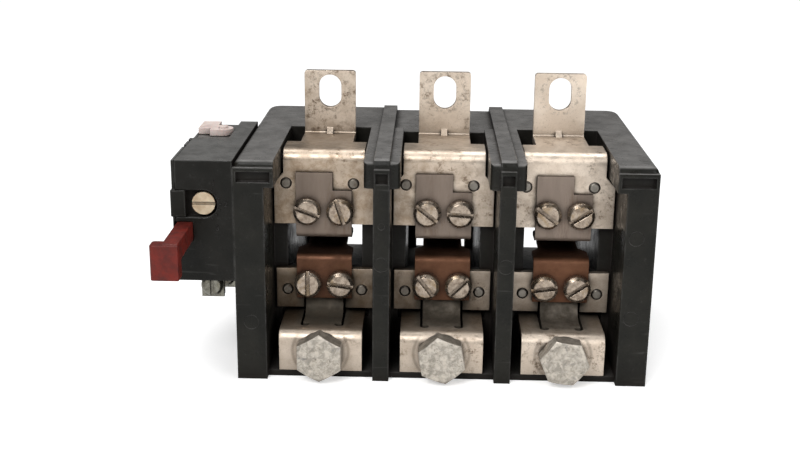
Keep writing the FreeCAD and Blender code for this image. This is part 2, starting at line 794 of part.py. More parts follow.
def make_heater_strip(pole):
    """Bimetal strip: a notched plate under the line screws, bent back into the channel."""
    body = new_body(f"heater_strip_{pole + 2}")
    front, strip_top = "(0 - strap_thick)", "(strip_bottom + strap_thick)"
    side = sketch_on(body, "YZ_Plane")
    add_outline(side, [
        (front, "strip_bottom"),
        ("strip_length", "strip_bottom"),
        ("strip_length", strip_top),
        ("0", strip_top),
        ("0", "heater_top"),
        (front, "heater_top"),
    ])
    pad(body, side, "strip_width", both=True)
    round_edges(body, [("X", front, "strip_bottom")], "strap_thick + 1")
    round_edges(body, [("X", "0", strip_top)], "1")
    notch = sketch_on(body, "XZ_Plane", "strap_thick")
    add_rectangle(notch, "strip_width / 2 - heater_notch_width", "strip_width / 2 + 1",
                  "heater_top - heater_notch_drop", "heater_top + 1")
    pocket(body, notch, "strap_thick")
    taper = sketch_on(body, "XY_Plane", strip_top)
    for sign in ("-1", "1"):
        add_outline(taper, [
            (f"{sign} * strip_width / 2", WALL_BACK),
            (f"{sign} * (strip_width / 2 + 1)", WALL_BACK),
            (f"{sign} * (strip_width / 2 + 1)", "strip_length + 1"),
            (f"{sign} * strip_tip_width / 2", "strip_length + 1"),
            (f"{sign} * strip_tip_width / 2", f"{WALL_BACK} + 4"),
        ])
    pocket(body, taper, "strap_thick")
    holes = sketch_on(body, "XZ_Plane", "strap_thick")
    for sign in ("-1", "1"):
        add_circle(holes, f"{sign} * strap_screw_gap / 2", "line_screw_height",
                   "strap_screw / 2 + play")
    pocket(body, holes, "strap_thick")
    place(body, pole_x(pole))
    return body


def make_return_strap(pole):
    """Copper strap from the tip of the heater strip back to the load screws."""
    body = new_body(f"return_strap_{pole + 2}")
    front, leg_bottom = "(0 - strap_thick)", "(strap_top - strap_thick)"
    rise_front, rise_back = "(strap_length - 8)", "(strap_length - 8 + strap_thick)"
    weld_bottom = "(strip_bottom - strap_thick)"
    side = sketch_on(body, "YZ_Plane")
    add_outline(side, [
        (front, "strap_bottom"),
        ("0", "strap_bottom"),
        ("0", leg_bottom),
        (rise_back, leg_bottom),
        (rise_back, weld_bottom),
        ("strap_length", weld_bottom),
        ("strap_length", "strip_bottom"),
        (rise_front, "strip_bottom"),
        (rise_front, "strap_top"),
        (front, "strap_top"),
    ])
    pad(body, side, "strip_width", both=True)
    round_edges(body, [("X", front, "strap_top")], "strap_thick + 1.2")
    round_edges(body, [("X", "0", leg_bottom)], "1.2")
    taper = sketch_on(body, "XY_Plane", "strip_bottom")
    for sign in ("-1", "1"):
        add_outline(taper, [
            (f"{sign} * strip_width / 2", WALL_BACK),
            (f"{sign} * (strip_width / 2 + 1)", WALL_BACK),
            (f"{sign} * (strip_width / 2 + 1)", "strap_length + 1"),
            (f"{sign} * strip_tip_width / 2", "strap_length + 1"),
            (f"{sign} * strip_tip_width / 2", f"{WALL_BACK} + 4"),
        ])
    pocket(body, taper, f"strip_bottom - {leg_bottom}")
    holes = sketch_on(body, "XZ_Plane", "strap_thick")
    for sign in ("-1", "1"):
        add_circle(holes, f"{sign} * strap_screw_gap / 2", "load_screw_height",
                   "strap_screw / 2 + play")
    pocket(body, holes, "strap_thick")
    place(body, pole_x(pole))
    return body


# --- fasteners ----------------------------------------------------------------------------------

def strap_screw(pole, side, height, angle):
    """Slotted cheese-head screw that clamps a strap to a busbar."""
    seat = "(0 - strap_thick)"
    rim = "(strap_screw_rise * 0.72)"
    x = f"{pole_x(pole)} + {side} * strap_screw_gap / 2"
    shank = rod("Y", x, seat, height, "strap_screw / 2", "strap_thick + busbar_thick + 3")
    head = rod("Y", x, f"{seat} - {rim}", height, "strap_screw_head / 2", rim)
    crown = cone(x, f"{seat} - strap_screw_rise", height,
                 "strap_screw_head / 2", "strap_screw_head / 2 - 1.1", f"strap_screw_rise - {rim}")
    slot = doc.addObject("Part::Box", "slot")
    tie(slot, "Length", "strap_screw_head + 2")
    tie(slot, "Width", "strap_screw_rise * 0.5 + 1")
    tie(slot, "Height", "screw_slot")
    turn = FreeCAD.Rotation(Vector(0, 1, 0), -angle)
    corner = Vector(-SIZES["strap_screw_head"] / 2 - 1, 0, -SIZES["screw_slot"] / 2)
    slot.Placement = FreeCAD.Placement(turn.multVec(corner), turn)
    shift = slot.Placement.Base
    place(slot, f"{x} + {shift.x:.6f}", f"{seat} - strap_screw_rise - 1",
          f"{height} + {shift.z:.6f}")
    return cut(fuse(shank, head, crown), slot)


def make_strap_screws(label, height, angles):
    sides = [(pole, side) for pole in POLES for side in (-1, 1)]
    screws = [strap_screw(pole, side, height, angle)
              for (pole, side), angle in zip(sides, angles)]
    return group(label, screws)


def make_busbar_rivets():
    """Moulded-over pins that hold the busbars to the case."""
    pins = []
    for pole in POLES:
        for side, height in (
                ("0 - line_rivet_left", "line_rivet_height"),
                ("line_rivet_right", "line_rivet_height"),
                ("0 - load_rivet_side", "load_rivet_height"),
                ("load_rivet_side", "load_rivet_height")):
            x = f"{pole_x(pole)} + {side}"
            shank = rod("Y", x, "0", height, "rivet / 2", f"{WALL_BACK} - 1.4")
            dome = cone(x, "0 - 0.5", height, "rivet / 2", "rivet / 2 - 0.5", "0.5")
            pins.append(fuse(shank, dome))
    return group("busbar_rivets", pins)


def hexagon(across_flats, length, angle):
    """A hexagonal prism along Y, with one corner at the top when its angle is 0."""
    prism = doc.addObject("Part::Prism", "hexagon")
    prism.Polygon = 6
    tie(prism, "Circumradius", f"({across_flats}) / sqrt(3)")
    tie(prism, "Height", length)
    spin = FreeCAD.Rotation(Vector(0, 0, 1), 90 - angle)
    prism.Placement = FreeCAD.Placement(Vector(), AXES["Y"].multiply(spin))
    return prism


def make_terminal_bolts():
    """Hexagon bolts in the load terminals, each head chamfered at its corners."""
    bolts = []
    front = "(0 - terminal_front - washer_thick - bolt_head)"
    for pole, angle in zip(POLES, BOLT_ANGLES):
        head = hexagon("bolt_flats", "bolt_head", angle)
        place(head, pole_x(pole), front, "bolt_height")
        body_round = rod("Y", pole_x(pole), f"{front} + 1.4", "bolt_height",
                         "bolt_flats", "bolt_head")
        chamfer = cone(pole_x(pole), front, "bolt_height",
                       "bolt_flats / 2 * 0.97 + 2.4", "bolt_flats / 2 * 0.97", "1.4")
        common = doc.addObject("Part::MultiCommon", "head")
        common.Shapes = [head, fuse(body_round, chamfer)]
        shank = rod("Y", pole_x(pole), f"{front} + bolt_head - 1", "bolt_height",
                    "bolt / 2", "bolt_length + 1")
        bolts.append(fuse(common, shank))
    return group("terminal_bolts", bolts)


def make_terminal_washers():
    """Split spring washers under the bolt heads."""
    washers = []
    for pole in POLES:
        back = "(0 - terminal_front - washer_thick)"
        ring = rod("Y", pole_x(pole), back, "bolt_height", "washer / 2", "washer_thick")
        hole = rod("Y", pole_x(pole), f"{back} - 1", "bolt_height", "bolt / 2 + 0.25",
                   "washer_thick + 2")
        split = block(f"{pole_x(pole)} - washer_split / 2", f"{back} - 1",
                      "bolt_height - washer", "washer_split", "washer_thick + 2", "washer")
        washers.append(cut(ring, hole, split))
    return group("terminal_washers", washers)


# --- trip shaft ---------------------------------------------------------------------------------

def make_trip_shaft():
    start = f"({CASE_LEFT} + 4)"
    shaft = rod("X", start, "trip_depth", TRIP_Z, "trip_shaft / 2",
                f"{HALF_WIDTH} - end_wall / 2 - 0.5 - {start}")
    shaft.Label = "trip_shaft"
    return shaft


def make_trip_finger(pole):
    """Moulded finger on the trip shaft whose tip rests over one heater strip."""
    hub = rod("X", f"{pole_x(pole)} - 4", "trip_depth", TRIP_Z,
              "trip_shaft / 2 + 2", "8")
    arm_end = "(strip_length - 4)"
    arm = block(f"{pole_x(pole)} - 2.5", "trip_depth", f"{TRIP_Z} - 1.5",
                "5", f"{arm_end} - trip_depth + 2", "3")
    tip = block(f"{pole_x(pole)} - 2.5", f"{arm_end} - 1", "strip_bottom + strap_thick + 0.3",
                "5", "3", f"{TRIP_Z} - strip_bottom - strap_thick")
    bore = rod("X", f"{pole_x(pole)} - 5", "trip_depth", TRIP_Z,
               "trip_shaft / 2 + 0.01", "10")
    finger = cut(fuse(hub, arm, tip), bore)
    finger.Label = f"trip_finger_{pole + 2}"
    return finger


# --- side module --------------------------------------------------------------------------------

def make_module_case():
    """Five-sided moulding on the left of the case, open towards its cover."""
    body = new_body("module_case")
    front, right = "(0 - front_depth)", MODULE_RIGHT
    plan = sketch_on(body, "XY_Plane", MODULE_BOTTOM)
    add_rectangle(plan, CASE_LEFT, right, front, "module_back")
    pad(body, plan, "module_height")
    inside = sketch_on(body, "YZ_Plane", CASE_LEFT)
    add_rectangle(inside, f"{front} + module_front_wall", "module_back - module_wall",
                  f"{MODULE_BOTTOM} + module_wall", CAVITY_TOP)
    pocket(body, inside, "module_width - module_cover - module_wall", flip=True)
    recess = sketch_on(body, "XZ_Plane", "front_depth")
    add_rectangle(recess, f"{MODULE_LEFT} + flange_width", DIAL_X,
                  f"{DIAL_Z} - dial_recess / 2", f"{DIAL_Z} + dial_recess / 2")
    pocket(body, recess, "recess_depth")
    ring = sketch_on(body, "XZ_Plane", "front_depth")
    add_circle(ring, DIAL_X, DIAL_Z, "dial_recess / 2")
    pocket(body, ring, "recess_depth")
    bore = sketch_on(body, "XZ_Plane", "front_depth - recess_depth")
    add_circle(bore, DIAL_X, DIAL_Z, "dial_shaft / 2 + running_gap")
    pocket(body, bore, "module_front_wall")
    stem = sketch_on(body, "XZ_Plane", "front_depth")
    add_rectangle(stem, f"{CASE_LEFT} - 1", f"{MODULE_RIGHT} - reset_side + play",
                  f"{RESET_TOP} - reset_height - play", f"{RESET_TOP} + play")
    pocket(body, stem, "module_front_wall")
    flange = sketch_on(body, "XZ_Plane", "front_depth")
    add_rectangle(flange, f"{CASE_LEFT} - 1", f"{MODULE_LEFT} + flange_width",
                  f"{DIAL_Z} - dial_recess / 2", f"{DIAL_Z} + dial_recess / 2")
    pocket(body, flange, "recess_depth")
    top = sketch_on(body, "XY_Plane", "case_height")
    add_rectangle(top, f"{CASE_LEFT} - 1", f"{SELECTOR_X} + 4.2",
                  "selector_depth - 13.5", "module_back + 1")
    pocket(body, top, "selector_recess")
    pivot = sketch_on(body, "XY_Plane", "case_height - selector_recess")
    add_circle(pivot, SELECTOR_X, "selector_depth", "2 + running_gap")
    pocket(body, pivot, "module_wall")
    shaft = sketch_on(body, "YZ_Plane", right)
    add_circle(shaft, "trip_depth", TRIP_Z, "trip_shaft / 2 + 0.4")
    for depth, height in MODULE_SCREW_PLACES:
        add_circle(shaft, depth, height, "module_screw / 2 + play")
    pocket(body, shaft, "module_wall")
    stop = sketch_on(body, "XY_Plane", CAVITY_TOP)
    add_rectangle(stop, CASE_LEFT, f"{MODULE_RIGHT} - reset_side + 0.8",
                  "spring_stop - 18.5", "spring_stop - 16")
    pad(body, stop, f"{CAVITY_TOP} - {RESET_TOP} + reset_height + 1", flip=True)
    slots = sketch_on(body, "XY_Plane", MODULE_BOTTOM)
    for front in TERMINAL_FRONTS:
        add_rectangle(slots, f"{CONTACT_X} - 3.2", f"{CONTACT_X} + 3.2",
                      f"{front} - play", f"{front} + contact_thick + play")
    pocket(body, slots, "module_wall", flip=True)
    return body


def make_module_cover():
    """Left side plate with a front flange that hooks into the case."""
    body = new_body("module_cover")
    front = "(0 - front_depth)"
    side = sketch_on(body, "YZ_Plane", MODULE_LEFT)
    recess_front = "(selector_depth - 13.5)"
    add_outline(side, [
        (front, MODULE_BOTTOM),
        ("module_back", MODULE_BOTTOM),
        ("module_back", "case_height - selector_recess"),
        (recess_front, "case_height - selector_recess"),
        (recess_front, "case_height"),
        ("9", "case_height"),
        ("9", "case_height - 1.5"),
        ("6.5", "case_height - 1.5"),
        ("6.5", "case_height"),
        ("0", "case_height"),
        ("0", "case_height - 1.5"),
        ("-3", "case_height - 1.5"),
        ("-3", "case_height"),
        (front, "case_height"),
    ])
    pad(body, side, "module_cover - play / 2")
    flange = sketch_on(body, "XZ_Plane", "front_depth + 0.3")
    add_rectangle(flange, f"{MODULE_LEFT} - 0.6", f"{MODULE_LEFT} + flange_width - play",
                  f"{DIAL_Z} - dial_recess / 2 + play", f"{DIAL_Z} + dial_recess / 2 - play")
    pad(body, flange, "recess_depth + 0.1", flip=True)
    stem = sketch_on(body, "XZ_Plane", "front_depth")
    add_rectangle(stem, f"{CASE_LEFT} - 0.6", f"{CASE_LEFT} + 1",
                  f"{RESET_TOP} - reset_height - play", f"{RESET_TOP} + play")
    pocket(body, stem, "module_front_wall")
    return body


def make_setting_dial():
    """Slotted current-setting dial on a turned shaft."""
    head = rod("Y", DIAL_X, "0.6 - front_depth", DIAL_Z, "dial / 2", "recess_depth - 0.8")
    shaft = rod("Y", DIAL_X, "0.6 - front_depth", DIAL_Z, "dial_shaft / 2",
                "module_front_wall + 6")
    slot = block(f"{DIAL_X} - dial / 2 - 1", "0 - front_depth", f"{DIAL_Z} - 0.6",
                 "dial + 2", "1.6", "1.2")
    dial = cut(fuse(head, shaft), slot)
    dial.Label = "setting_dial"
    return dial


def make_dial_cam():
    """Eccentric disc on the inner end of the dial's shaft."""
    y = "(module_front_wall - front_depth + 1)"
    disc = rod("Y", f"{DIAL_X} + 0.9", y, DIAL_Z, "dial_shaft / 2 + 1.6", "3")
    bore = rod("Y", DIAL_X, f"{y} - 1", DIAL_Z, "dial_shaft / 2 + 0.01", "5")
    cam = cut(disc, bore)
    cam.Label = "dial_cam"
    return cam


def make_reset_button():
    """Red push bar: a square head, a flat stem and a stop collar inside the module."""
    body = new_body("reset_button")
    left = f"({MODULE_RIGHT} - reset_side - reset_width)"
    right = f"({MODULE_RIGHT} - reset_side)"
    low = f"({RESET_TOP} - reset_height)"
    inner = "(module_front_wall - front_depth)"
    stem = sketch_on(body, "XZ_Plane", "front_depth + reset_reach - 1")
    add_rectangle(stem, left, right, low, RESET_TOP)
    pad(body, stem, f"reset_reach + front_depth - 1 + {inner} + 9", flip=True)
    head = sketch_on(body, "XZ_Plane", "front_depth + reset_reach")
    add_rectangle(head, f"{right} - reset_head_width", right,
                  f"{RESET_TOP} - 0.5 - reset_head_height", f"{RESET_TOP} - 0.5")
    pad(body, head, "reset_head_depth", flip=True)
    collar = sketch_on(body, "XZ_Plane", f"0 - {inner} - play")
    add_rectangle(collar, left, f"{right} + 2", f"{low} - 1.5", f"{RESET_TOP} + 1.5")
    pad(body, collar, "3", flip=True)
    edges = [("Z", f"{right} - reset_head_width", "0 - front_depth - reset_reach"),
             ("Z", f"{right} - reset_head_width", "reset_head_depth - front_depth - reset_reach")]
    round_edges(body, edges, "1.2")
    return body


def make_mode_selector():
    """Ivory lever in the top recess: a hub, a tab to its left and a spindle into the module."""
    floor = "(case_height - selector_recess + play)"
    hub = rod("Z", SELECTOR_X, "selector_depth", floor, "3.9", "selector_thick")
    arm = block(f"{SELECTOR_X} - 4.6", "selector_depth - 3.9", floor,
                "5", "9", "selector_thick")
    tab = block(f"{SELECTOR_X} - 9.6", "selector_depth - 1", floor,
                "7", "13", "selector_thick")
    spindle = rod("Z", SELECTOR_X, "selector_depth", f"{CAVITY_TOP} - 2", "2",
                  f"{floor} - {CAVITY_TOP} + 2 + selector_thick / 2")
    knob = rod("Z", SELECTOR_X, "selector_depth", floor, "1.8", "selector_thick + 0.8")
    lever = fuse(hub, arm, tab, spindle, knob)
    lever.Label = "mode_selector"
    return lever


# --- auxiliary contact --------------------------------------------------------------------------

def terminal_tab(body, front, shift):
    """The wide end of an auxiliary terminal below the module, tapped for its clamp screw."""
    half = "(terminal_tab_width / 2)"
    face = sketch_on(body, "XZ_Plane", f"0 - {front}")
    middle = f"({CONTACT_X} + {shift})"
    add_rectangle(face, f"{middle} - {half}", f"{middle} + {half}",
                  f"{MODULE_BOTTOM} - terminal_tab_drop", f"{MODULE_BOTTOM} - play")
    pad(body, face, "contact_thick", flip=True)
    hole = sketch_on(body, "XZ_Plane", f"0 - {front}")
    add_circle(hole, middle, TERMINAL_Z, "terminal_screw / 2 + running_gap")
    pocket(body, hole, "contact_thick")


def contact_button(body, depth, low, height):
    button = sketch_on(body, "XY_Plane", low)
    add_circle(button, CONTACT_X, depth, "1.5")
    pad(body, button, height)


FRONT_TERMINAL = "(0 - front_terminal)"
BACK_TERMINAL = "(terminal_spacing - front_terminal)"
TERMINAL_FRONTS = (FRONT_TERMINAL, BACK_TERMINAL)
FIXED_LOW = f"({BRIDGE_TOP} + 1.7)"
FRONT_CONTACT = "(contact_depth - contact_reach)"
BACK_CONTACT = "(contact_depth + contact_reach)"


def make_front_contact():
    """Front auxiliary terminal: a strip up from its tab, bent back over the bridge."""
    body = new_body("front_contact")
    left, right = f"{CONTACT_X} - 3", f"{CONTACT_X} + 3"
    side = sketch_on(body, "YZ_Plane", left)
    back = f"({FRONT_CONTACT} + 1.6)"
    add_outline(side, [
        (FRONT_TERMINAL, f"{MODULE_BOTTOM} - play"),
        (f"{FRONT_TERMINAL} + contact_thick", f"{MODULE_BOTTOM} - play"),
        (f"{FRONT_TERMINAL} + contact_thick", FIXED_LOW),
        (back, FIXED_LOW),
        (back, f"{FIXED_LOW} + contact_thick"),
        (FRONT_TERMINAL, f"{FIXED_LOW} + contact_thick"),
    ])
    pad(body, side, f"{right} - ({left})")
    terminal_tab(body, FRONT_TERMINAL, "0")
    contact_button(body, FRONT_CONTACT, f"{FIXED_LOW} - 0.8", "1")
    return body


def make_back_contact():
    """Back auxiliary terminal: its strip passes under the carrier and rises behind it."""
    body = new_body("back_contact")
    left, right = f"{CONTACT_X} - 3", f"{CONTACT_X} + 3"
    side = sketch_on(body, "YZ_Plane", left)
    low = f"({MODULE_BOTTOM} + module_wall + 1.3)"
    rise = f"({BACK_CONTACT} + 3.4)"
    front = f"({BACK_CONTACT} - 1.6)"
    add_outline(side, [
        (BACK_TERMINAL, f"{MODULE_BOTTOM} - play"),
        (f"{BACK_TERMINAL} + contact_thick", f"{MODULE_BOTTOM} - play"),
        (f"{BACK_TERMINAL} + contact_thick", low),
        (f"{rise} + contact_thick", low),
        (f"{rise} + contact_thick", f"{FIXED_LOW} + contact_thick"),
        (front, f"{FIXED_LOW} + contact_thick"),
        (front, FIXED_LOW),
        (rise, FIXED_LOW),
        (rise, f"{low} + contact_thick"),
        (BACK_TERMINAL, f"{low} + contact_thick"),
    ])
    pad(body, side, f"{right} - ({left})")
    terminal_tab(body, BACK_TERMINAL, "back_terminal_shift")
    contact_button(body, BACK_CONTACT, f"{FIXED_LOW} - 0.8", "1")
    return body


def make_contact_bridge():
    """Moving contact blade with a button at each end."""
    body = new_body("contact_bridge")
    blade = sketch_on(body, "XY_Plane", f"{BRIDGE_TOP} - 1.1")
    add_rectangle(blade, f"{CONTACT_X} - 2", f"{CONTACT_X} + 2",
                  f"{FRONT_CONTACT} - 1.8", f"{BACK_CONTACT} + 1.8")
    pad(body, blade, "1.1")
    contact_button(body, FRONT_CONTACT, f"{BRIDGE_TOP} - 0.2", "0.9")
    contact_button(body, BACK_CONTACT, f"{BRIDGE_TOP} - 0.2", "0.9")
    return body


CARRIER_LOW = f"({BRIDGE_TOP} - 3.8)"


def make_contact_carrier():
    """Moulded carrier with a window for the bridge."""
    carrier = block(f"{CONTACT_X} - 4.2", "contact_depth - 2.5", CARRIER_LOW,
                    "8.4", "5", "carrier_height")
    window = block(f"{CONTACT_X} - 2.02", "contact_depth - 3", f"{BRIDGE_TOP} - 1.12",
                   "4.04", "6", "1.14")
    result = cut(carrier, window)
    result.Label = "contact_carrier"
    return result


def coil_spring(label, axis, start, length, radius, wire_radius, turns):
    """A round-wire compression spring that runs from a point along a positive axis."""
    pitch = (length - 2 * wire_radius) / turns
    path = Part.makeHelix(pitch, length - 2 * wire_radius, radius)
    section = Part.Circle(Vector(radius, 0, 0), Vector(0, 1, 0), wire_radius).toShape()
    spring = doc.addObject("Part::Feature", label)
    spring.Label = label
    spring.Shape = Part.Wire(path).makePipeShell([Part.Wire(section)], True, True)
    along = AXES[axis].multVec(Vector(0, 0, wire_radius))
    spring.Placement = FreeCAD.Placement(start + along, AXES[axis])
    return spring


def make_reset_spring():
    """Return spring between the reset bar and its stop rib in the module."""
    start = amount("module_front_wall - front_depth + 9.3")
    length = amount("spring_stop - 18.5 - 0.3") - start
    corner = Vector(amount(f"{MODULE_RIGHT} - reset_side - reset_width / 2"), start,
                    amount(f"{RESET_TOP} - reset_height / 2"))
    return coil_spring("reset_spring", "Y", corner, length, 2.2, 0.4, 9)


def make_contact_spring():
    """Spring that holds the carrier up and the contact closed."""
    low = amount(f"{MODULE_BOTTOM} + module_wall + 1.3 + contact_thick + 0.3")
    length = amount(f"{CARRIER_LOW} - 0.3") - low
    corner = Vector(amount(CONTACT_X), amount("contact_depth"), low)
    return coil_spring("contact_spring", "Z", corner, length, 1.9, 0.3, 3)


def make_trip_arm():
    """Block on the trip shaft inside the module, with an arm over the contact carrier."""
    left = f"({CONTACT_X} - 3)"
    hub = block(left, "trip_depth - 4", f"{TRIP_Z} - 4", "9", "8", "8")
    arm = block(left, "contact_depth - 1.5", f"{TRIP_Z} - 1", "5.5",
                "trip_depth - contact_depth", "3")
    foot = block(left, "contact_depth - 1.5", f"{CARRIER_LOW} + carrier_height + 0.3",
                 "5.5", "3", f"{TRIP_Z} - {CARRIER_LOW} - carrier_height")
    bore = rod("X", f"{left} - 1", "trip_depth", TRIP_Z, "trip_shaft / 2 + 0.01", "11")
    arm_block = cut(fuse(hub, arm, foot), bore)
    arm_block.Label = "trip_arm"
    return arm_block


def make_compensator():
    """Ambient-compensating bimetal blade from the trip arm to the dial's cam."""
    tip = "(module_front_wall - front_depth + 1.5)"
    blade = block(f"{CONTACT_X} + 2.8", tip, f"{TRIP_Z} + 4", "3", f"trip_depth + 4 - {tip}",
                  "0.8")
    blade.Label = "compensator_strip"
    return blade


def clamp_screws():
    """Clamp screw and square clamp plate places: X of each screw and Y of each terminal's front."""
    return ((CONTACT_X, FRONT_TERMINAL), (f"{CONTACT_X} + back_terminal_shift", BACK_TERMINAL))


def make_terminal_clamps():
    clamps = []
    for x, front in clamp_screws():
        plate = block(f"{x} - terminal_tab_width / 2", f"{front} - contact_thick - 0.05",
                      f"{TERMINAL_Z} - terminal_tab_width / 2 - 0.8",
                      "terminal_tab_width", "contact_thick", "terminal_tab_width + 0.8")
        hole = rod("Y", x, f"{front} - contact_thick - 1", TERMINAL_Z,
                   "terminal_screw / 2 + play", "contact_thick + 2")
        clamps.append(cut(plate, hole))
    return group("terminal_clamps", clamps)


def make_terminal_screws():
    """Slotted clamp screws of the auxiliary terminals."""
    screws = []
    for x, front in clamp_screws():
        seat = f"({front} - contact_thick - 0.05)"
        head = rod("Y", x, f"{seat} - 1.6", TERMINAL_Z, "terminal_screw_head / 2", "1.6")
        crown = cone(x, f"{seat} - 2.6", TERMINAL_Z, "terminal_screw_head / 2",
                     "terminal_screw_head / 2 - 1", "1")
        shank = rod("Y", x, seat, TERMINAL_Z, "terminal_screw / 2", "7")
        slot = block(f"{x} - 0.6", f"{seat} - 3", f"{TERMINAL_Z} - terminal_screw_head",
                     "1.2", "1.5", "2 * terminal_screw_head")
        screws.append(cut(fuse(head, crown, shank), slot))
    return group("terminal_screws", screws)


def make_module_screws():
    """Screws that hold the module to the end wall."""
    screws = []
    for depth, height in MODULE_SCREW_PLACES:
        seat = f"({MODULE_RIGHT} - module_wall)"
        shank = rod("X", seat, depth, height, "module_screw / 2", "module_wall + 7")
        head = rod("X", f"{seat} - 2", depth, height, "module_screw", "2")
        slot = block(f"{seat} - 3", f"{depth} - module_screw - 1", f"{height} - 0.5",
                     "2", "2 * module_screw + 2", "1")
        screws.append(cut(fuse(shank, head), slot))
    return group("module_screws", screws)


# --- build --------------------------------------------------------------------------------------

def build_model():
    keep(make_housing())
    keep(make_rear_cover())
    keep(make_rear_cover_screws())
    for pole in POLES:
        keep(make_line_busbar(pole))
        keep(make_load_busbar(pole))
        keep(make_heater_strip(pole))
        keep(make_return_strap(pole))
        keep(make_trip_finger(pole))
    keep(make_strap_screws("line_screws", "line_screw_height", LINE_SLOT_ANGLES))
    keep(make_strap_screws("load_screws", "load_screw_height", LOAD_SLOT_ANGLES))
    keep(make_busbar_rivets())
    keep(make_terminal_bolts())
    keep(make_terminal_washers())
    keep(make_trip_shaft())
    keep(make_module_case())
    keep(make_module_cover())
    keep(make_setting_dial())
    keep(make_dial_cam())
    keep(make_reset_button())
    keep(make_reset_spring())
    keep(make_mode_selector())
    keep(make_module_screws())
    keep(make_front_contact())
    keep(make_back_contact())
    keep(make_terminal_clamps())
    keep(make_terminal_screws())
    keep(make_contact_bridge())
    keep(make_contact_carrier())
    keep(make_contact_spring())
    keep(make_trip_arm())
    keep(make_compensator())


def owner(thing):
    """Label of the body that holds a feature, or its own label."""
    body = thing.getParentGeoFeatureGroup()
    return body.Label if body else thing.Label


def check_model():
    """Stop before writing anything if a feature failed or a piece is not a sound solid."""
    failed = [thing for thing in doc.Objects if {"Invalid", "Error"} & set(thing.State)]
    if failed:
        names = [f"{thing.Name} in {owner(thing)}: {thing.getStatusString()}" for thing in failed]
        raise RuntimeError("failed objects: " + "; ".join(names))
    for node in NODES:
        if node.Shape.isNull() or not node.Shape.isValid() or not node.Shape.Solids:
            raise RuntimeError(f"{node.Label} has no valid solid")


def write_parts():
    os.makedirs("parts", exist_ok=True)
    for node in NODES:
        node.Shape.exportStep(os.path.join("parts", f"{node.Label}.step"))


build_model()
doc.recompute()
check_model()
write_parts()
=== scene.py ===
"""Looks of the three-pole thermal overload relay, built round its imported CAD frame. Metres."""
import json
import math

import bmesh
import bpy
from mathutils import Matrix, Vector


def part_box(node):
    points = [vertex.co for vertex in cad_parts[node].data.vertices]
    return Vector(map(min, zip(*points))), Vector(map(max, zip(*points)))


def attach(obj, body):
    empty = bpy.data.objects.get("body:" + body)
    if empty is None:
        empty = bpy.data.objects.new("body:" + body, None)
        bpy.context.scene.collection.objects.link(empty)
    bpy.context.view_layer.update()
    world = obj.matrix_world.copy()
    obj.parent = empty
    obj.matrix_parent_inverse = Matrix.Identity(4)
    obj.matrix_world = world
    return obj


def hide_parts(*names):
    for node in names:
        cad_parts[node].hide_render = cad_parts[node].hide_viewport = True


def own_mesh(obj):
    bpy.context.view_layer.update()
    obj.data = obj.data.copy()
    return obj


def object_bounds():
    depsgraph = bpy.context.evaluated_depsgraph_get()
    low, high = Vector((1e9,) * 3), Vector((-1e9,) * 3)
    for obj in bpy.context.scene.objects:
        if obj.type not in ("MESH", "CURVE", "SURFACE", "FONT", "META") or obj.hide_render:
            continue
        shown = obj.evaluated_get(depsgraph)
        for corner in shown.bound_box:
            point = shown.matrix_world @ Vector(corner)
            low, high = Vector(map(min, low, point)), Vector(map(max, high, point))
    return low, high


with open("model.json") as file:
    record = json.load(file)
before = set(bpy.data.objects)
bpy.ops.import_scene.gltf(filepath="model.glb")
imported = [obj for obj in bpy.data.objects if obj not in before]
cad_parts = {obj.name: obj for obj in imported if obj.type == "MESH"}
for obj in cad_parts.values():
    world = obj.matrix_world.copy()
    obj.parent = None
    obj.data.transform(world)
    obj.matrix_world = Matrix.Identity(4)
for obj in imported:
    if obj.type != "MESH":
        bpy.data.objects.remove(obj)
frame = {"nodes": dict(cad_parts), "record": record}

scene = bpy.context.scene
NODES = frame["nodes"]
CAD_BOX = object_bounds()
MM = 0.001
INWARD = Vector((0, 1, 0))
OUTWARD = Vector((0, -1, 0))
UP = Vector((0, 0, 1))

# Places that the finishes need, read from the CAD
POLES = ("1", "2", "3")
POLE_PITCH = (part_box("line_busbar_3")[0].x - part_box("line_busbar_1")[0].x) / 2
BOLT_HEIGHT = sum(corner.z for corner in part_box("terminal_bolts")) / 2
TERMINAL_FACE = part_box("load_busbar_1")[0].y
TAB_SLOT = sum((Vector(corner) for opening in frame["record"]["physics"]["openings"]
                if opening["name"] == "tab_slot_1" for corner in opening["box_m"]),
               Vector()) / 2

# Where the plating is browner or darker, partly from ageing and partly as painted shade, each from
# where a mask starts to where it ends
AGEING_X = (50 * MM, -60 * MM)      # from the pole that stayed bright to the one that went brown
RECESSED_Y = (-19 * MM, -6 * MM)    # from the terminal faces to the plates in the bays
TAB_RISE_Z = (74 * MM, 86 * MM)      # from the line plates up to the tabs above the housing
LOW_PLATE_Z = (38 * MM, 32 * MM)    # down across the load plates
NECK_Z = (29 * MM, 25 * MM)         # down onto the necks under them
NECK_SIDE = (12 * MM, 8 * MM)       # from beside a neck to its own width
NECK_DEPTH = (4 * MM, 9 * MM)       # behind the terminal face
MARK_CORE = 0.1 * MM                # half the width over which a washer's mark is full


# --- materials ----------------------------------------------------------------------------------

def srgb(red, green, blue):
    """A colour given as it looks on screen, 0 to 255, in linear light."""
    def linear(level):
        level /= 255
        return level / 12.92 if level <= 0.04045 else ((level + 0.055) / 1.055) ** 2.4
    return (linear(red), linear(green), linear(blue), 1.0)


WHITE = (1, 1, 1, 1)
# painted shade, laid in corners and recesses that are shut in
CREVICE_SHADE = srgb(24, 20, 17)
# painted shade on the load busbars' necks, partly tarnish
NECK_SHADE = srgb(50, 45, 36)
TARNISH = srgb(92, 68, 44)
EVEN = (1, 1, 1)    # noise as long as it is wide
SAMPLES = 6         # of each rounding and crevice node


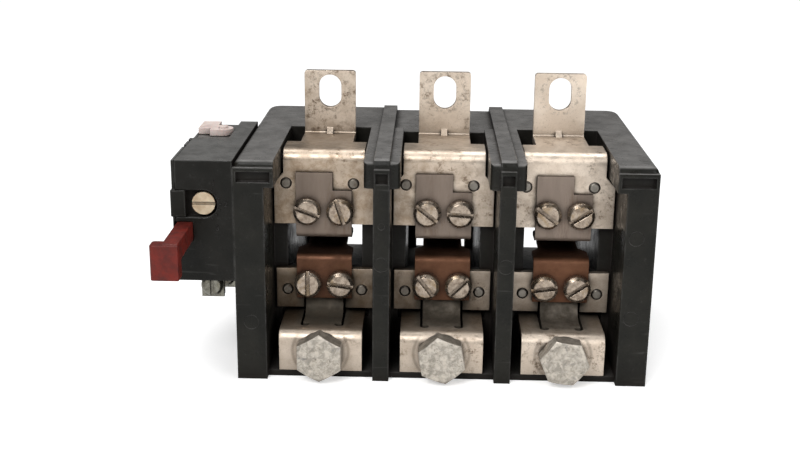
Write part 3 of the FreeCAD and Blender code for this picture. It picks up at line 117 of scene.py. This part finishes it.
class Nodes:
    """A node tree, with short calls for what the world and the finishes share."""

    def __init__(self, tree):
        self.tree = tree

    def add(self, kind, **settings):
        node = self.tree.nodes.new(kind)
        for key, value in settings.items():
            setattr(node, key, value)
        return node

    def link(self, source, socket):
        """Join an output to an input, or set the input to a plain value."""
        if isinstance(source, bpy.types.NodeSocket):
            self.tree.links.new(source, socket)
        else:
            socket.default_value = source

    def maths(self, operation, first, second=0.0):
        node = self.add("ShaderNodeMath", operation=operation)
        self.link(first, node.inputs[0])
        self.link(second, node.inputs[1])
        return node.outputs[0]

    def times(self, first, second):
        return self.maths("MULTIPLY", first, second)

    def seen(self, in_metal):
        """1 to the camera and through glass, in_metal in reflections, 0 as light on a surface."""
        rays = self.add("ShaderNodeLightPath").outputs
        indirect = self.maths("MAXIMUM", rays["Is Transmission Ray"],
                              self.times(rays["Is Glossy Ray"], in_metal))
        return self.maths("MAXIMUM", rays["Is Camera Ray"], indirect)


class Finish(Nodes):
    """One node material over object coordinates, which are the row frame's metres.

    A mask is a value that is 1 where something shows and 0 where it doesn't."""

    def __init__(self, name, **fixed):
        self.material = bpy.data.materials.new(name)
        self.material.use_nodes = True
        super().__init__(self.material.node_tree)
        self.shader = self.tree.nodes["Principled BSDF"]
        self.place = self.add("ShaderNodeTexCoord").outputs["Object"]
        for socket, value in fixed.items():
            self.shader.inputs[socket.replace("_", " ")].default_value = value

    def curve(self, value, low, high, start=0.0, end=1.0):
        """A value mapped smoothly from low..high to start..end."""
        node = self.add("ShaderNodeMapRange", interpolation_type="SMOOTHSTEP")
        self.link(value, node.inputs["Value"])
        for socket, number in (("From Min", low), ("From Max", high),
                               ("To Min", start), ("To Max", end)):
            node.inputs[socket].default_value = number
        return node.outputs["Result"]

    def noise(self, scale, detail, rough=0.55, stretch=EVEN, warp=0.0):
        """Noise, scale in features a metre."""
        scaled = self.add("ShaderNodeVectorMath", operation="MULTIPLY")
        self.link(self.place, scaled.inputs[0])
        self.link(stretch, scaled.inputs[1])
        node = self.add("ShaderNodeTexNoise")
        for socket, value in (("Vector", scaled.outputs[0]), ("Scale", scale),
                              ("Detail", detail), ("Roughness", rough), ("Distortion", warp)):
            self.link(value, node.inputs[socket])
        return node.outputs["Fac"]

    def mottle(self, scale, detail, low, high, start=0.0, end=1.0, **shape):
        """Noise mapped smoothly from low..high to start..end."""
        return self.curve(self.noise(scale, detail, **shape), low, high, start, end)

    def lay(self, under, over, mask, most=1.0):
        """One colour laid over another where a mask says, as much as most of it."""
        node = self.add("ShaderNodeMix", data_type="RGBA")
        self.link(mask if most == 1.0 else self.times(mask, most), node.inputs[0])
        self.link(under, node.inputs[6])
        self.link(over, node.inputs[7])
        return node.outputs[2]

    def split(self, vector):
        node = self.add("ShaderNodeSeparateXYZ")
        self.link(vector, node.inputs[0])
        return node.outputs

    def axes(self):
        return self.split(self.place)

    def facing_up(self, low, high):
        """A mask of faces that look up, from a slope of low to one of high."""
        slope = self.split(self.add("ShaderNodeNewGeometry").outputs["Normal"])["Z"]
        return self.curve(slope, low, high)

    def rounded(self, radius):
        node = self.add("ShaderNodeBevel", samples=SAMPLES)
        self.link(radius, node.inputs["Radius"])
        return node.outputs["Normal"]

    def edges(self, radius):
        """A mask of sharp edges."""
        dot = self.add("ShaderNodeVectorMath", operation="DOT_PRODUCT")
        self.link(self.rounded(radius), dot.inputs[0])
        self.link(self.add("ShaderNodeNewGeometry").outputs["Normal"], dot.inputs[1])
        return self.curve(dot.outputs["Value"], low=0.98, high=0.80)

    def crevices(self, distance, open_level=0.85, shut_level=0.25):
        """A mask of corners that are shut in within a distance, where the finishes lay painted
        shade.
        """
        node = self.add("ShaderNodeAmbientOcclusion", samples=SAMPLES)
        self.link(distance, node.inputs["Distance"])
        return self.curve(node.outputs["AO"], open_level, shut_level)

    def bump(self, value, depth, strength, normal=None):
        node = self.add("ShaderNodeBump")
        for socket, setting in (("Strength", strength), ("Distance", depth), ("Height", value)):
            self.link(setting, node.inputs[socket])
        if normal is not None:
            self.link(normal, node.inputs["Normal"])
        return node.outputs["Normal"]

    def finish(self, colour, rough, normal, metal=None):
        self.link(colour, self.shader.inputs["Base Color"])
        self.link(rough, self.shader.inputs["Roughness"])
        self.link(normal, self.shader.inputs["Normal"])
        if metal is not None:
            self.link(metal, self.shader.inputs["Metallic"])
        return self.material


def moulding(name, dark, light, dust_and_sheen, top_dust_and_sheen=0.8):
    """Compression-moulded thermoset: near-black, rubbed pale along its edges with a painted
    highlight there too, dusty on top with a painted sheen, and painted shade in its recesses.
    """
    corner = 0.7 * MM
    make = Finish(name, Specular_IOR_Level=0.14)
    body = make.lay(dark, light, make.mottle(scale=55, detail=5, rough=0.6, low=0.35, high=0.7))
    speckle = make.mottle(scale=900, detail=3, rough=0.7, low=0.62, high=0.76)
    body = make.lay(body, dust_and_sheen, speckle, most=0.10)
    scratches = make.mottle(scale=420, detail=2, rough=0.5, stretch=(0.12, 1, 1.6), warp=1.5,
                            low=0.68, high=0.74, end=0.10)
    body = make.lay(body, dust_and_sheen, scratches)
    # edges rubbed pale, which is partly wear and partly a painted highlight
    wear_and_glint = make.times(make.edges(corner * 1.6),
                      make.mottle(scale=160, detail=4, rough=0.6, low=0.35, high=0.65, start=0.15))
    body = make.lay(body, dust_and_sheen, wear_and_glint, most=0.30)
    # faces that look up are paler: partly dust, partly a painted sheen
    uneven = make.mottle(scale=150, detail=6, rough=0.7, low=0.3, high=0.7,
                         start=0.58 * top_dust_and_sheen, end=top_dust_and_sheen)
    body = make.lay(body, dust_and_sheen, make.times(make.facing_up(0.5, 0.95), uneven))
    # painted shade: deep recesses, then the shallow groove under the front bead
    deep_shade = make.crevices(16 * MM, open_level=0.80, shut_level=0.15)
    body = make.lay(body, CREVICE_SHADE, deep_shade, most=0.9)
    body = make.lay(body, CREVICE_SHADE, make.crevices(3 * MM, open_level=0.95, shut_level=0.45), most=0.8)
    smears = make.mottle(scale=240, detail=4, rough=0.6, low=0.3, high=0.7, start=0.22, end=0.42)
    rough = make.maths("ADD", smears, make.times(deep_shade, 0.4))
    grain = make.bump(make.noise(scale=2600, detail=2, rough=0.5), depth=0.03 * MM, strength=0.5,
                      normal=make.rounded(corner))
    waves = make.bump(make.noise(scale=70, detail=2, rough=0.4), depth=0.22 * MM, strength=0.35,
                      normal=grain)
    return make.finish(body, rough, waves)


def off_pole(make):
    """Sideways distance from the middle of the nearest pole."""
    shifted = make.maths("ADD", make.axes()["X"], POLE_PITCH / 2)
    return make.maths("SUBTRACT", make.maths("FLOORED_MODULO", shifted, POLE_PITCH),
                      POLE_PITCH / 2)


def washer_mark(make, height, radius, half_width, depth, reach):
    """A mask of the ring that a washer left at each pole, on faces within reach of a depth."""
    across, at = off_pole(make), make.axes()
    above = make.maths("SUBTRACT", at["Z"], height)
    squares = make.maths("ADD", make.times(across, across), make.times(above, above))
    off_ring = make.maths("ABSOLUTE", make.maths("SUBTRACT", make.maths("SQRT", squares), radius))
    behind = make.maths("GREATER_THAN", at["Y"], depth - reach)
    before = make.maths("LESS_THAN", at["Y"], depth + reach)
    return make.times(make.curve(off_ring, half_width, MARK_CORE), make.times(behind, before))


def neck_shade(make):
    """A mask of the neck of each load busbar, painted dark: mostly painted shade under the plate
    and the copper, partly tarnish.
    """
    at = make.axes()
    sideways = make.curve(make.maths("ABSOLUTE", off_pole(make)), *NECK_SIDE)
    deep = make.curve(at["Y"], *(TERMINAL_FACE + depth for depth in NECK_DEPTH))
    under = make.curve(at["Z"], *NECK_Z)
    uneven = make.mottle(scale=170, detail=4, rough=0.7, low=0.3, high=0.7, start=0.75)
    return make.times(make.times(sideways, deep), make.times(under, uneven))


def used_busbar(make, colour, dark, age, inside):
    """The colour of a busbar with the marks of its washers and a darker lower plate, partly
    tarnish and partly painted shade.
    """
    bolt_ring = washer_mark(make, BOLT_HEIGHT, radius=10.4 * MM, half_width=0.9 * MM,
                            depth=TERMINAL_FACE, reach=MM)
    colour = make.lay(colour, dark, bolt_ring, most=0.35)
    slot_ring = washer_mark(make, TAB_SLOT.z, radius=7.4 * MM, half_width=1.6 * MM,
                            depth=TAB_SLOT.y, reach=4 * MM)
    pecked = make.mottle(scale=900, detail=3, rough=0.7, low=0.50, high=0.62)
    colour = make.lay(colour, dark, make.times(slot_ring, pecked), most=0.4)
    # the low plates get darker: partly tarnish, partly painted shade
    low = make.times(make.curve(make.axes()["Z"], *LOW_PLATE_Z), inside)
    low_tarnish_and_shade = make.maths("ADD", make.times(age, 0.45), 0.3)
    return make.lay(colour, dark, make.times(low, low_tarnish_and_shade))


def plated(name, clean, stain, dark, metal=0.85, base_rough=0.34, grime=0.8, streak=EVEN,
           busbar=False):
    """Plated sheet metal: bright, with brown tarnish in patches and spots, and painted shade in
    its corners.

    The outer poles differ: tarnish thins out towards +X. Recessed faces are browner than the
    terminal faces in front and the tabs above the housing; faces that look up carry dust and a
    painted dark reflection."""
    make = Finish(name)
    at = make.axes()
    age = make.curve(at["X"], *AGEING_X, start=0.15)
    inside = make.times(make.curve(at["Y"], *RECESSED_Y, start=0.25),
                        make.curve(at["Z"], *TAB_RISE_Z, start=1.0, end=0.45))

    clouds = make.mottle(scale=60, detail=3, rough=0.5, stretch=streak, low=0.3, high=0.7,
                         end=0.30)
    colour = make.lay(clean, stain, clouds)
    colour = make.lay(colour, stain, make.times(age, inside), most=0.62)
    patches = make.mottle(scale=170, detail=7, rough=0.8, stretch=streak, warp=0.15,
                          low=0.42, high=0.64)
    spread = make.times(inside, make.curve(age, low=0.2, high=1.0, start=0.35))
    colour = make.lay(colour, stain, make.times(patches, spread), most=grime)
    blotches = make.times(make.mottle(scale=300, detail=7, rough=0.82, stretch=streak, warp=0.1,
                                      low=0.50, high=0.64),
                          make.mottle(scale=45, detail=2, low=0.42, high=0.62))
    colour = make.lay(colour, TARNISH, blotches, most=grime)
    speckle = make.mottle(scale=1300, detail=4, rough=0.75, low=0.57, high=0.68)
    colour = make.lay(colour, stain, speckle, most=0.6 * grime)
    colour = make.lay(colour, clean, make.edges(0.5 * MM), most=0.35)
    if busbar:
        colour = used_busbar(make, colour, dark, age, inside)
    # faces that look up get darker: partly settled dust, partly a painted dark reflection
    dust_and_dark_reflection = make.times(make.facing_up(0.80, 0.98),
                         make.curve(age, low=0.2, high=1.0, start=0.315, end=0.7))
    colour = make.lay(colour, dark, dust_and_dark_reflection)
    # painted shade: broad where faces are shut in, then tight corners
    colour = make.lay(colour, dark, make.crevices(14 * MM, open_level=0.75, shut_level=0.2),
                      most=0.6)
    colour = make.lay(colour, CREVICE_SHADE, make.crevices(3 * MM), most=0.8)

    rough = make.mottle(scale=210, detail=5, rough=0.6, stretch=streak, low=0.3, high=0.75,
                        start=base_rough, end=base_rough + 0.28)
    fine = make.bump(make.noise(scale=1500, detail=3, rough=0.6, stretch=(0.25, 1, 1)),
                     depth=0.02 * MM, strength=0.5, normal=make.rounded(0.3 * MM))
    dents = make.bump(make.noise(scale=160, detail=3, rough=0.5), depth=0.18 * MM, strength=0.35,
                      normal=fine)
    dulled = make.times(dust_and_dark_reflection, 0.3)
    if busbar:
        # the necks get painted shade, with some tarnish
        neck = neck_shade(make)
        colour = make.lay(colour, NECK_SHADE, neck, most=0.92)
        rough = make.maths("ADD", rough, make.times(neck, 0.3))
        dulled = make.maths("ADD", dulled, make.times(neck, 0.4))
    return make.finish(colour, rough, dents, make.maths("SUBTRACT", metal, dulled))


def mottled_zinc(name):
    """Old zinc plating, dull and pale, with small dark specks and a few grey patches."""
    make = Finish(name)
    base = make.lay(srgb(148, 142, 132), srgb(194, 186, 174),
                    make.mottle(scale=420, detail=6, rough=0.75, warp=0.5, low=0.38, high=0.62))
    patches = make.mottle(scale=170, detail=4, rough=0.7, warp=1.0, low=0.58, high=0.68)
    base = make.lay(base, srgb(116, 115, 116), patches, most=0.6)
    specks = make.mottle(scale=620, detail=6, rough=0.85, low=0.57, high=0.64)
    base = make.lay(base, srgb(78, 70, 60), specks, most=0.7)
    base = make.lay(base, srgb(216, 210, 200), make.edges(0.5 * MM), most=0.4)
    base = make.lay(base, srgb(84, 74, 62), make.facing_up(0.45, 0.85), most=0.65)
    # painted shade in the corners
    base = make.lay(base, srgb(44, 37, 30), make.crevices(3 * MM), most=0.8)
    rough = make.mottle(scale=500, detail=4, rough=0.6, low=0.3, high=0.7, start=0.38, end=0.75)
    pits = make.bump(make.noise(scale=1700, detail=5, rough=0.7), depth=0.08 * MM, strength=0.6,
                     normal=make.rounded(0.4 * MM))
    metal = make.mottle(scale=360, detail=3, low=0.4, high=0.6, start=0.2, end=0.6)
    return make.finish(base, rough, pits, metal)


def screw_metal(name, clean, stain, tarnish):
    """Turned screw metal: brassy patches, painted shade in the slot and round the rim."""
    make = Finish(name)
    colour = make.lay(clean, stain,
                      make.mottle(scale=380, detail=5, rough=0.65, low=0.38, high=0.68))
    brassy = make.mottle(scale=150, detail=4, rough=0.7, warp=0.8, low=0.50, high=0.66)
    colour = make.lay(colour, tarnish, brassy, most=0.5)
    colour = make.lay(colour, clean, make.edges(0.4 * MM), most=0.4)
    # painted shade in the slot and round the rim
    slot_shade = make.crevices(2.5 * MM, open_level=0.70, shut_level=0.15)
    colour = make.lay(colour, srgb(36, 27, 20), slot_shade, most=0.75)
    rough = make.mottle(scale=600, detail=4, rough=0.6, low=0.3, high=0.7, start=0.20, end=0.38)
    marks = make.bump(make.noise(scale=1500, detail=2, rough=0.5), depth=0.02 * MM, strength=0.4,
                      normal=make.rounded(0.6 * MM))
    return make.finish(colour, rough, marks, metal=0.9)


def plastic(name, colour, shade, rough=0.4, corner=0.35 * MM):
    """Moulded thermoplastic with slight mottling, rubbed edges and painted shade in the corners.
    """
    make = Finish(name, Subsurface_Weight=0.05, Subsurface_Scale=0.002, Specular_IOR_Level=0.3)
    body = make.lay(colour, shade,
                    make.mottle(scale=240, detail=5, rough=0.6, low=0.35, high=0.7))
    # painted shade in the corners
    body = make.lay(body, srgb(40, 30, 24), make.crevices(6 * MM), most=0.5)
    spots = make.mottle(scale=1400, detail=2, rough=0.6, low=0.66, high=0.74, end=0.45)
    body = make.lay(body, shade, spots)
    level = make.mottle(scale=420, detail=4, rough=0.6, low=0.3, high=0.7,
                        start=rough, end=rough + 0.2)
    grain = make.bump(make.noise(scale=1700, detail=2, rough=0.5), depth=0.03 * MM, strength=0.5,
                      normal=make.rounded(corner))
    return make.finish(body, level, grain)


BLACK = moulding("moulding", srgb(22, 22, 19), srgb(33, 32, 28), srgb(120, 118, 116))
MODULE = moulding("module_moulding", srgb(16, 16, 13), srgb(25, 24, 21), srgb(116, 115, 113),
                  top_dust_and_sheen=0.7)
BUSBAR = plated("busbar_plate", srgb(238, 224, 208), srgb(146, 124, 99), srgb(64, 52, 38),
                busbar=True)
HEATER = plated("heater_plate", srgb(147, 133, 122), srgb(114, 101, 90), srgb(62, 52, 45),
                metal=0.7, base_rough=0.42, grime=0.4, streak=(1, 1, 0.2))
COPPER = plated("copper_strap", srgb(118, 80, 58), srgb(82, 54, 38), srgb(40, 27, 20),
                metal=0.75, base_rough=0.42)
ZINC = screw_metal("screw_zinc", srgb(172, 158, 143), srgb(124, 110, 97), srgb(138, 114, 78))
AUX = screw_metal("screw_grey", srgb(132, 130, 120), srgb(88, 85, 76), srgb(104, 98, 80))
BOLT = mottled_zinc("bolt_zinc")
RIVET = plated("rivet_metal", srgb(150, 146, 138), srgb(112, 104, 94), srgb(48, 38, 30))
LINK = plastic("link_plastic", srgb(60, 57, 53), srgb(46, 43, 40))
IVORY = plastic("dial_ivory", srgb(190, 173, 148), srgb(160, 140, 114), rough=0.42)
RED = plastic("reset_red", srgb(104, 28, 18), srgb(74, 22, 16), rough=0.42, corner=0.5 * MM)
PINK = plastic("selector_white", srgb(214, 199, 192), srgb(190, 172, 166), rough=0.38)
SPRING = screw_metal("spring_wire", srgb(190, 190, 188), srgb(150, 150, 146),
                     srgb(138, 134, 126))
CONTACT = plated("contact_metal", srgb(206, 182, 120), srgb(160, 130, 78), srgb(80, 60, 34))

FINISHES = {
    BLACK: ["housing", "rear_cover"],
    MODULE: ["module_case", "module_cover"],
    BUSBAR: [f"{kind}_busbar_{pole}" for pole in POLES for kind in ("line", "load")],
    HEATER: [f"heater_strip_{pole}" for pole in POLES] + ["compensator_strip"],
    COPPER: [f"return_strap_{pole}" for pole in POLES],
    ZINC: ["line_screws", "load_screws", "rear_cover_screws"],
    AUX: ["terminal_screws", "terminal_clamps", "module_screws"],
    BOLT: ["terminal_bolts"],
    RIVET: ["busbar_rivets", "terminal_washers"],
    LINK: [f"trip_finger_{pole}" for pole in POLES] + [
        "trip_shaft", "dial_cam", "trip_arm", "contact_carrier"],
    IVORY: ["setting_dial"],
    RED: ["reset_button"],
    PINK: ["mode_selector"],
    SPRING: ["reset_spring", "contact_spring"],
    CONTACT: ["front_contact", "back_contact", "contact_bridge"],
}
for finish, names in FINISHES.items():
    for name in names:
        slots = NODES[name].data.materials
        slots.clear()
        slots.append(finish)


# --- rounded edges ------------------------------------------------------------------------------

def round_off(name, radius):
    """Round a node's sharp edges with modifiers; its own mesh stays as it is."""
    node = NODES[name]
    node.modifiers.new("weld", "WELD").merge_threshold = 0.002 * MM
    flat = node.modifiers.new("flat", "DECIMATE")
    flat.decimate_type = "DISSOLVE"
    flat.angle_limit = math.radians(0.5)
    bevel = node.modifiers.new("bevel", "BEVEL")
    bevel.width = radius
    bevel.segments = 3
    bevel.limit_method = "ANGLE"
    bevel.angle_limit = math.radians(50)
    node.modifiers.new("normals", "WEIGHTED_NORMAL").keep_sharp = False


for name, radius in (("reset_button", 0.7 * MM), ("mode_selector", 0.4 * MM),
                     ("module_cover", 0.4 * MM)):
    round_off(name, radius)


# --- small moulded detail -----------------------------------------------------------------------

def face_at(node, x, z):
    """The point where a ray from the front first meets a node."""
    _, place, _, _ = NODES[node].ray_cast(Vector((x, CAD_BOX[0].y - MM, z)), INWARD)
    return place


def add_piece(name, shape, place, body, finish):
    mesh = bpy.data.meshes.new(name)
    shape.to_mesh(mesh)
    shape.free()
    for face in mesh.polygons:
        face.use_smooth = True
    mesh.materials.append(finish)
    piece = bpy.data.objects.new(name, mesh)
    piece.location = place
    scene.collection.objects.link(piece)
    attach(piece, body)
    return piece


def wrap(shape, rows):
    """Join each row of points, itself a closed loop, to the next row with faces."""
    for here, there in zip(rows, rows[1:]):
        for part in range(len(here)):
            after = (part + 1) % len(here)
            shape.faces.new((here[part], here[after], there[after], there[part]))


def ring_shape(radius, thick, steps=48, around=10):
    """A ring facing -Y, centred on the origin."""
    shape = bmesh.new()
    rows = []
    for step in range(steps):
        turn = math.tau * step / steps
        row = []
        for part in range(around):
            angle = math.tau * part / around
            reach = radius + thick * math.cos(angle)
            row.append(shape.verts.new((reach * math.cos(turn), thick * math.sin(angle),
                                        reach * math.sin(turn))))
        rows.append(row)
    wrap(shape, rows + rows[:1])
    bmesh.ops.recalc_face_normals(shape, faces=shape.faces)
    return shape


RING_MARKS = (  # x, z and radius on the front of the housing's walls, mm
    (-69.9, 22.5, 2.7), (-22.5, 45.5, 2.7), (-22.5, 59.9, 1.2), (22.5, 45.5, 2.7),
    (68.5, 57.0, 2.7), (68.5, 26.5, 2.7))
RING_THICK, RING_SUNK = 0.16 * MM, 0.06 * MM
for index, (x, z, radius) in enumerate(RING_MARKS, 1):
    add_piece(f"ring_mark_{index}", ring_shape(radius * MM, RING_THICK),
              face_at("housing", x * MM, z * MM) + INWARD * RING_SUNK, "case",
              BLACK)


def tick_shape(inner, outer, turn, half_width, height, taper=0.4):
    """A bar facing -Y, pointing away from the origin, narrower at its top by taper."""
    along = Vector((math.cos(turn), 0, math.sin(turn)))
    across = Vector((-math.sin(turn), 0, math.cos(turn)))
    corners = ((inner, -1), (outer, -1), (outer, 1), (inner, 1))
    shape = bmesh.new()
    low = [shape.verts.new(along * reach + across * side * half_width)
           for reach, side in corners]
    high = [shape.verts.new(vert.co + OUTWARD * height - across * side * half_width * taper)
            for vert, (_, side) in zip(low, corners)]
    shape.faces.new(high)
    for first in range(4):
        second = (first + 1) % 4
        shape.faces.new((low[first], low[second], high[second], high[first]))
    shape.faces.new(low)
    bmesh.ops.recalc_face_normals(shape, faces=shape.faces)
    return shape


def numeral_shape(text, size, depth):
    """A raised number facing -Y."""
    font = bpy.data.curves.new(f"numeral_{text}_curve", "FONT")
    font.body, font.size, font.extrude = text, size, depth
    font.align_x, font.align_y = "CENTER", "CENTER"
    holder = bpy.data.objects.new(f"numeral_{text}_source", font)
    shape = bmesh.new()
    shape.from_mesh(bpy.data.meshes.new_from_object(holder))
    bpy.data.objects.remove(holder)
    bmesh.ops.rotate(shape, verts=shape.verts, matrix=Matrix.Rotation(math.pi / 2, 3, "X"))
    return shape


DIAL = sum(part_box("setting_dial"), Vector()) / 2
OVER_DIAL = 6 * MM      # how far over the dial's middle the module's flat front is found
MARKS_SUNK = 0.05 * MM  # how far the ticks and numerals reach into that front
MODULE_FRONT = face_at("module_case", DIAL.x, DIAL.z + OVER_DIAL).y
DIAL_MARKS = Vector((DIAL.x, MODULE_FRONT + MARKS_SUNK, DIAL.z))
TICK_DEGREES = range(-60, 61, 20)
NUMERALS = (  # x and z from the dial's middle, mm
    ("1", 3.9, 7.6), ("2", 8.1, 0.0), ("3", 4.9, -9.0))
for index, degrees in enumerate(TICK_DEGREES, 1):
    tick = tick_shape(inner=5.6 * MM, outer=6.6 * MM, turn=math.radians(degrees),
                      half_width=0.16 * MM, height=0.45 * MM)
    add_piece(f"dial_tick_{index}", tick, DIAL_MARKS, "case", MODULE)
for text, x, z in NUMERALS:
    add_piece(f"dial_numeral_{text}", numeral_shape(text, size=2.8 * MM, depth=0.40 * MM),
              DIAL_MARKS + Vector((x * MM, 0, z * MM)), "case", MODULE)


# --- springs ------------------------------------------------------------------------------------

def coil_shape(start, along, length, radius, wire, turns, steps=36, around=10):
    """A round-wire coil that starts at a point and runs along a direction."""
    across = along.orthogonal().normalized()
    aside = along.cross(across)
    shape = bmesh.new()
    rows = []
    for step in range(turns * steps + 1):
        turn = math.tau * step / steps
        out = math.cos(turn) * across + math.sin(turn) * aside
        rise = wire + (length - 2 * wire) * step / (turns * steps)
        core = start + along * rise + out * radius
        angles = [math.tau * part / around for part in range(around)]
        rows.append([shape.verts.new(core + wire * (math.cos(angle) * out
                                                    + math.sin(angle) * along))
                     for angle in angles])
    wrap(shape, rows)
    shape.faces.new(rows[0])
    shape.faces.new(rows[-1])
    bmesh.ops.recalc_face_normals(shape, faces=shape.faces)
    return shape


def live_spring(node, along, wire, turns):
    """A coil in place of a CAD spring, fixed to the case, from one end of the spring to the other.
    """
    low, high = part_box(node)
    size = high - low
    length = abs(size.dot(along))
    fixed = (low + high) / 2 - along * (length / 2)
    shape = coil_shape(fixed, along, length, size.x / 2 - wire, wire, turns)
    piece = add_piece(f"{node}_coil", shape, (0, 0, 0), "case", SPRING)
    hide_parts(node)
    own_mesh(piece)


live_spring("reset_spring", OUTWARD, wire=0.4 * MM, turns=9)
live_spring("contact_spring", UP, wire=0.3 * MM, turns=3)


# --- floor, light and camera --------------------------------------------------------------------

FLOOR_REACH = 6                     # half the floor's side
GLOW_NEAR, GLOW_FAR = 0.2, 1.4      # distances over which the floor's own glow rises
FLOOR_IN_METAL = 0.5                # share of the glow that reflections show
WORLD_IN_METAL = 0.1                # share of the white world that reflections show
WORLD_LIGHT = 0.03                  # light that the world gives to surfaces
PAPER_DARK, PAPER_PALE = (0.80, 0.80, 0.80, 1), (0.82, 0.82, 0.82, 1)

LIGHTS = (  # name, place, aim, width and height, watts
    ("key", (-0.35, -0.75, 0.75), (0, 0.02, 0.05), (0.55, 0.45), 9),
    ("fill", (0.6, -0.65, 0.35), (0, 0.02, 0.05), (0.6, 0.6), 4),
    ("top", (0.0, 0.25, 0.85), (0, 0.03, 0.05), (0.9, 0.6), 6))

CAMERA_PLACE = (-0.00665, -0.43383, 0.18459)
CAMERA_ANGLES = (16.81, -1.28, 0.65)  # pitch down, yaw and roll, degrees
LENS, SENSOR = 54, 36                 # mm


def make_floor():
    mesh = bpy.data.meshes.new("floor")
    shape = bmesh.new()
    bmesh.ops.create_grid(shape, x_segments=8, y_segments=8, size=FLOOR_REACH)
    shape.to_mesh(mesh)
    shape.free()
    floor = bpy.data.objects.new("floor", mesh)
    floor.location.z = CAD_BOX[0].z
    scene.collection.objects.link(floor)

    make = Finish("floor_paper")
    paper = make.lay(PAPER_DARK, PAPER_PALE, make.mottle(scale=3, detail=4, low=0.3, high=0.7))
    tooth = make.bump(make.noise(scale=700, detail=3), depth=0.02 * MM, strength=0.2)
    surface = make.finish(paper, rough=0.9, normal=tooth)
    away = make.add("ShaderNodeVectorMath", operation="LENGTH")
    make.link(make.place, away.inputs[0])
    level = make.curve(away.outputs["Value"], GLOW_NEAR, GLOW_FAR, start=0.45, end=0.9)
    glow = make.add("ShaderNodeEmission")
    make.link(make.times(make.seen(FLOOR_IN_METAL), level), glow.inputs["Strength"])
    both = make.add("ShaderNodeAddShader")
    make.link(make.shader.outputs[0], both.inputs[0])
    make.link(glow.outputs[0], both.inputs[1])
    make.link(both.outputs[0], make.tree.nodes["Material Output"].inputs["Surface"])
    mesh.materials.append(surface)


def make_world():
    world = bpy.data.worlds.new("studio")
    world.use_nodes = True
    scene.world = world
    make = Nodes(world.node_tree)
    back = make.tree.nodes["Background"]
    make.link(WHITE, back.inputs["Color"])
    level = make.add("ShaderNodeMapRange")
    make.link(make.seen(WORLD_IN_METAL), level.inputs["Value"])
    make.link(WORLD_LIGHT, level.inputs["To Min"])
    make.link(1.0, level.inputs["To Max"])
    make.link(level.outputs["Result"], back.inputs["Strength"])


def make_light(name, place, aim, size, watts):
    lamp = bpy.data.lights.new(name, "AREA")
    lamp.shape = "RECTANGLE"
    lamp.size, lamp.size_y = size
    lamp.energy = watts
    holder = bpy.data.objects.new(name, lamp)
    holder.location = place
    holder.rotation_euler = (Vector(aim) - Vector(place)).to_track_quat("-Z", "Y").to_euler()
    scene.collection.objects.link(holder)


def make_camera():
    """A camera in front, which looks along +Y when its angles are 0."""
    pitch, yaw, roll = (math.radians(angle) for angle in CAMERA_ANGLES)
    ahead = Vector((math.sin(yaw) * math.cos(pitch), math.cos(yaw) * math.cos(pitch),
                    -math.sin(pitch)))
    level = Vector((math.cos(yaw), -math.sin(yaw), 0))
    above = level.cross(ahead)
    right = math.cos(roll) * level + math.sin(roll) * above
    up = math.cos(roll) * above - math.sin(roll) * level
    data = bpy.data.cameras.new("camera")
    data.lens, data.sensor_width = LENS, SENSOR
    data.clip_start, data.clip_end = 0.01, 20
    camera = bpy.data.objects.new("camera", data)
    camera.matrix_world = Matrix.Translation(CAMERA_PLACE) @ Matrix(
        (right, up, -ahead)).transposed().to_4x4()
    scene.collection.objects.link(camera)
    scene.camera = camera


make_camera()
make_floor()
make_world()
for light in LIGHTS:
    make_light(*light)
scene.view_settings.view_transform = "Standard"
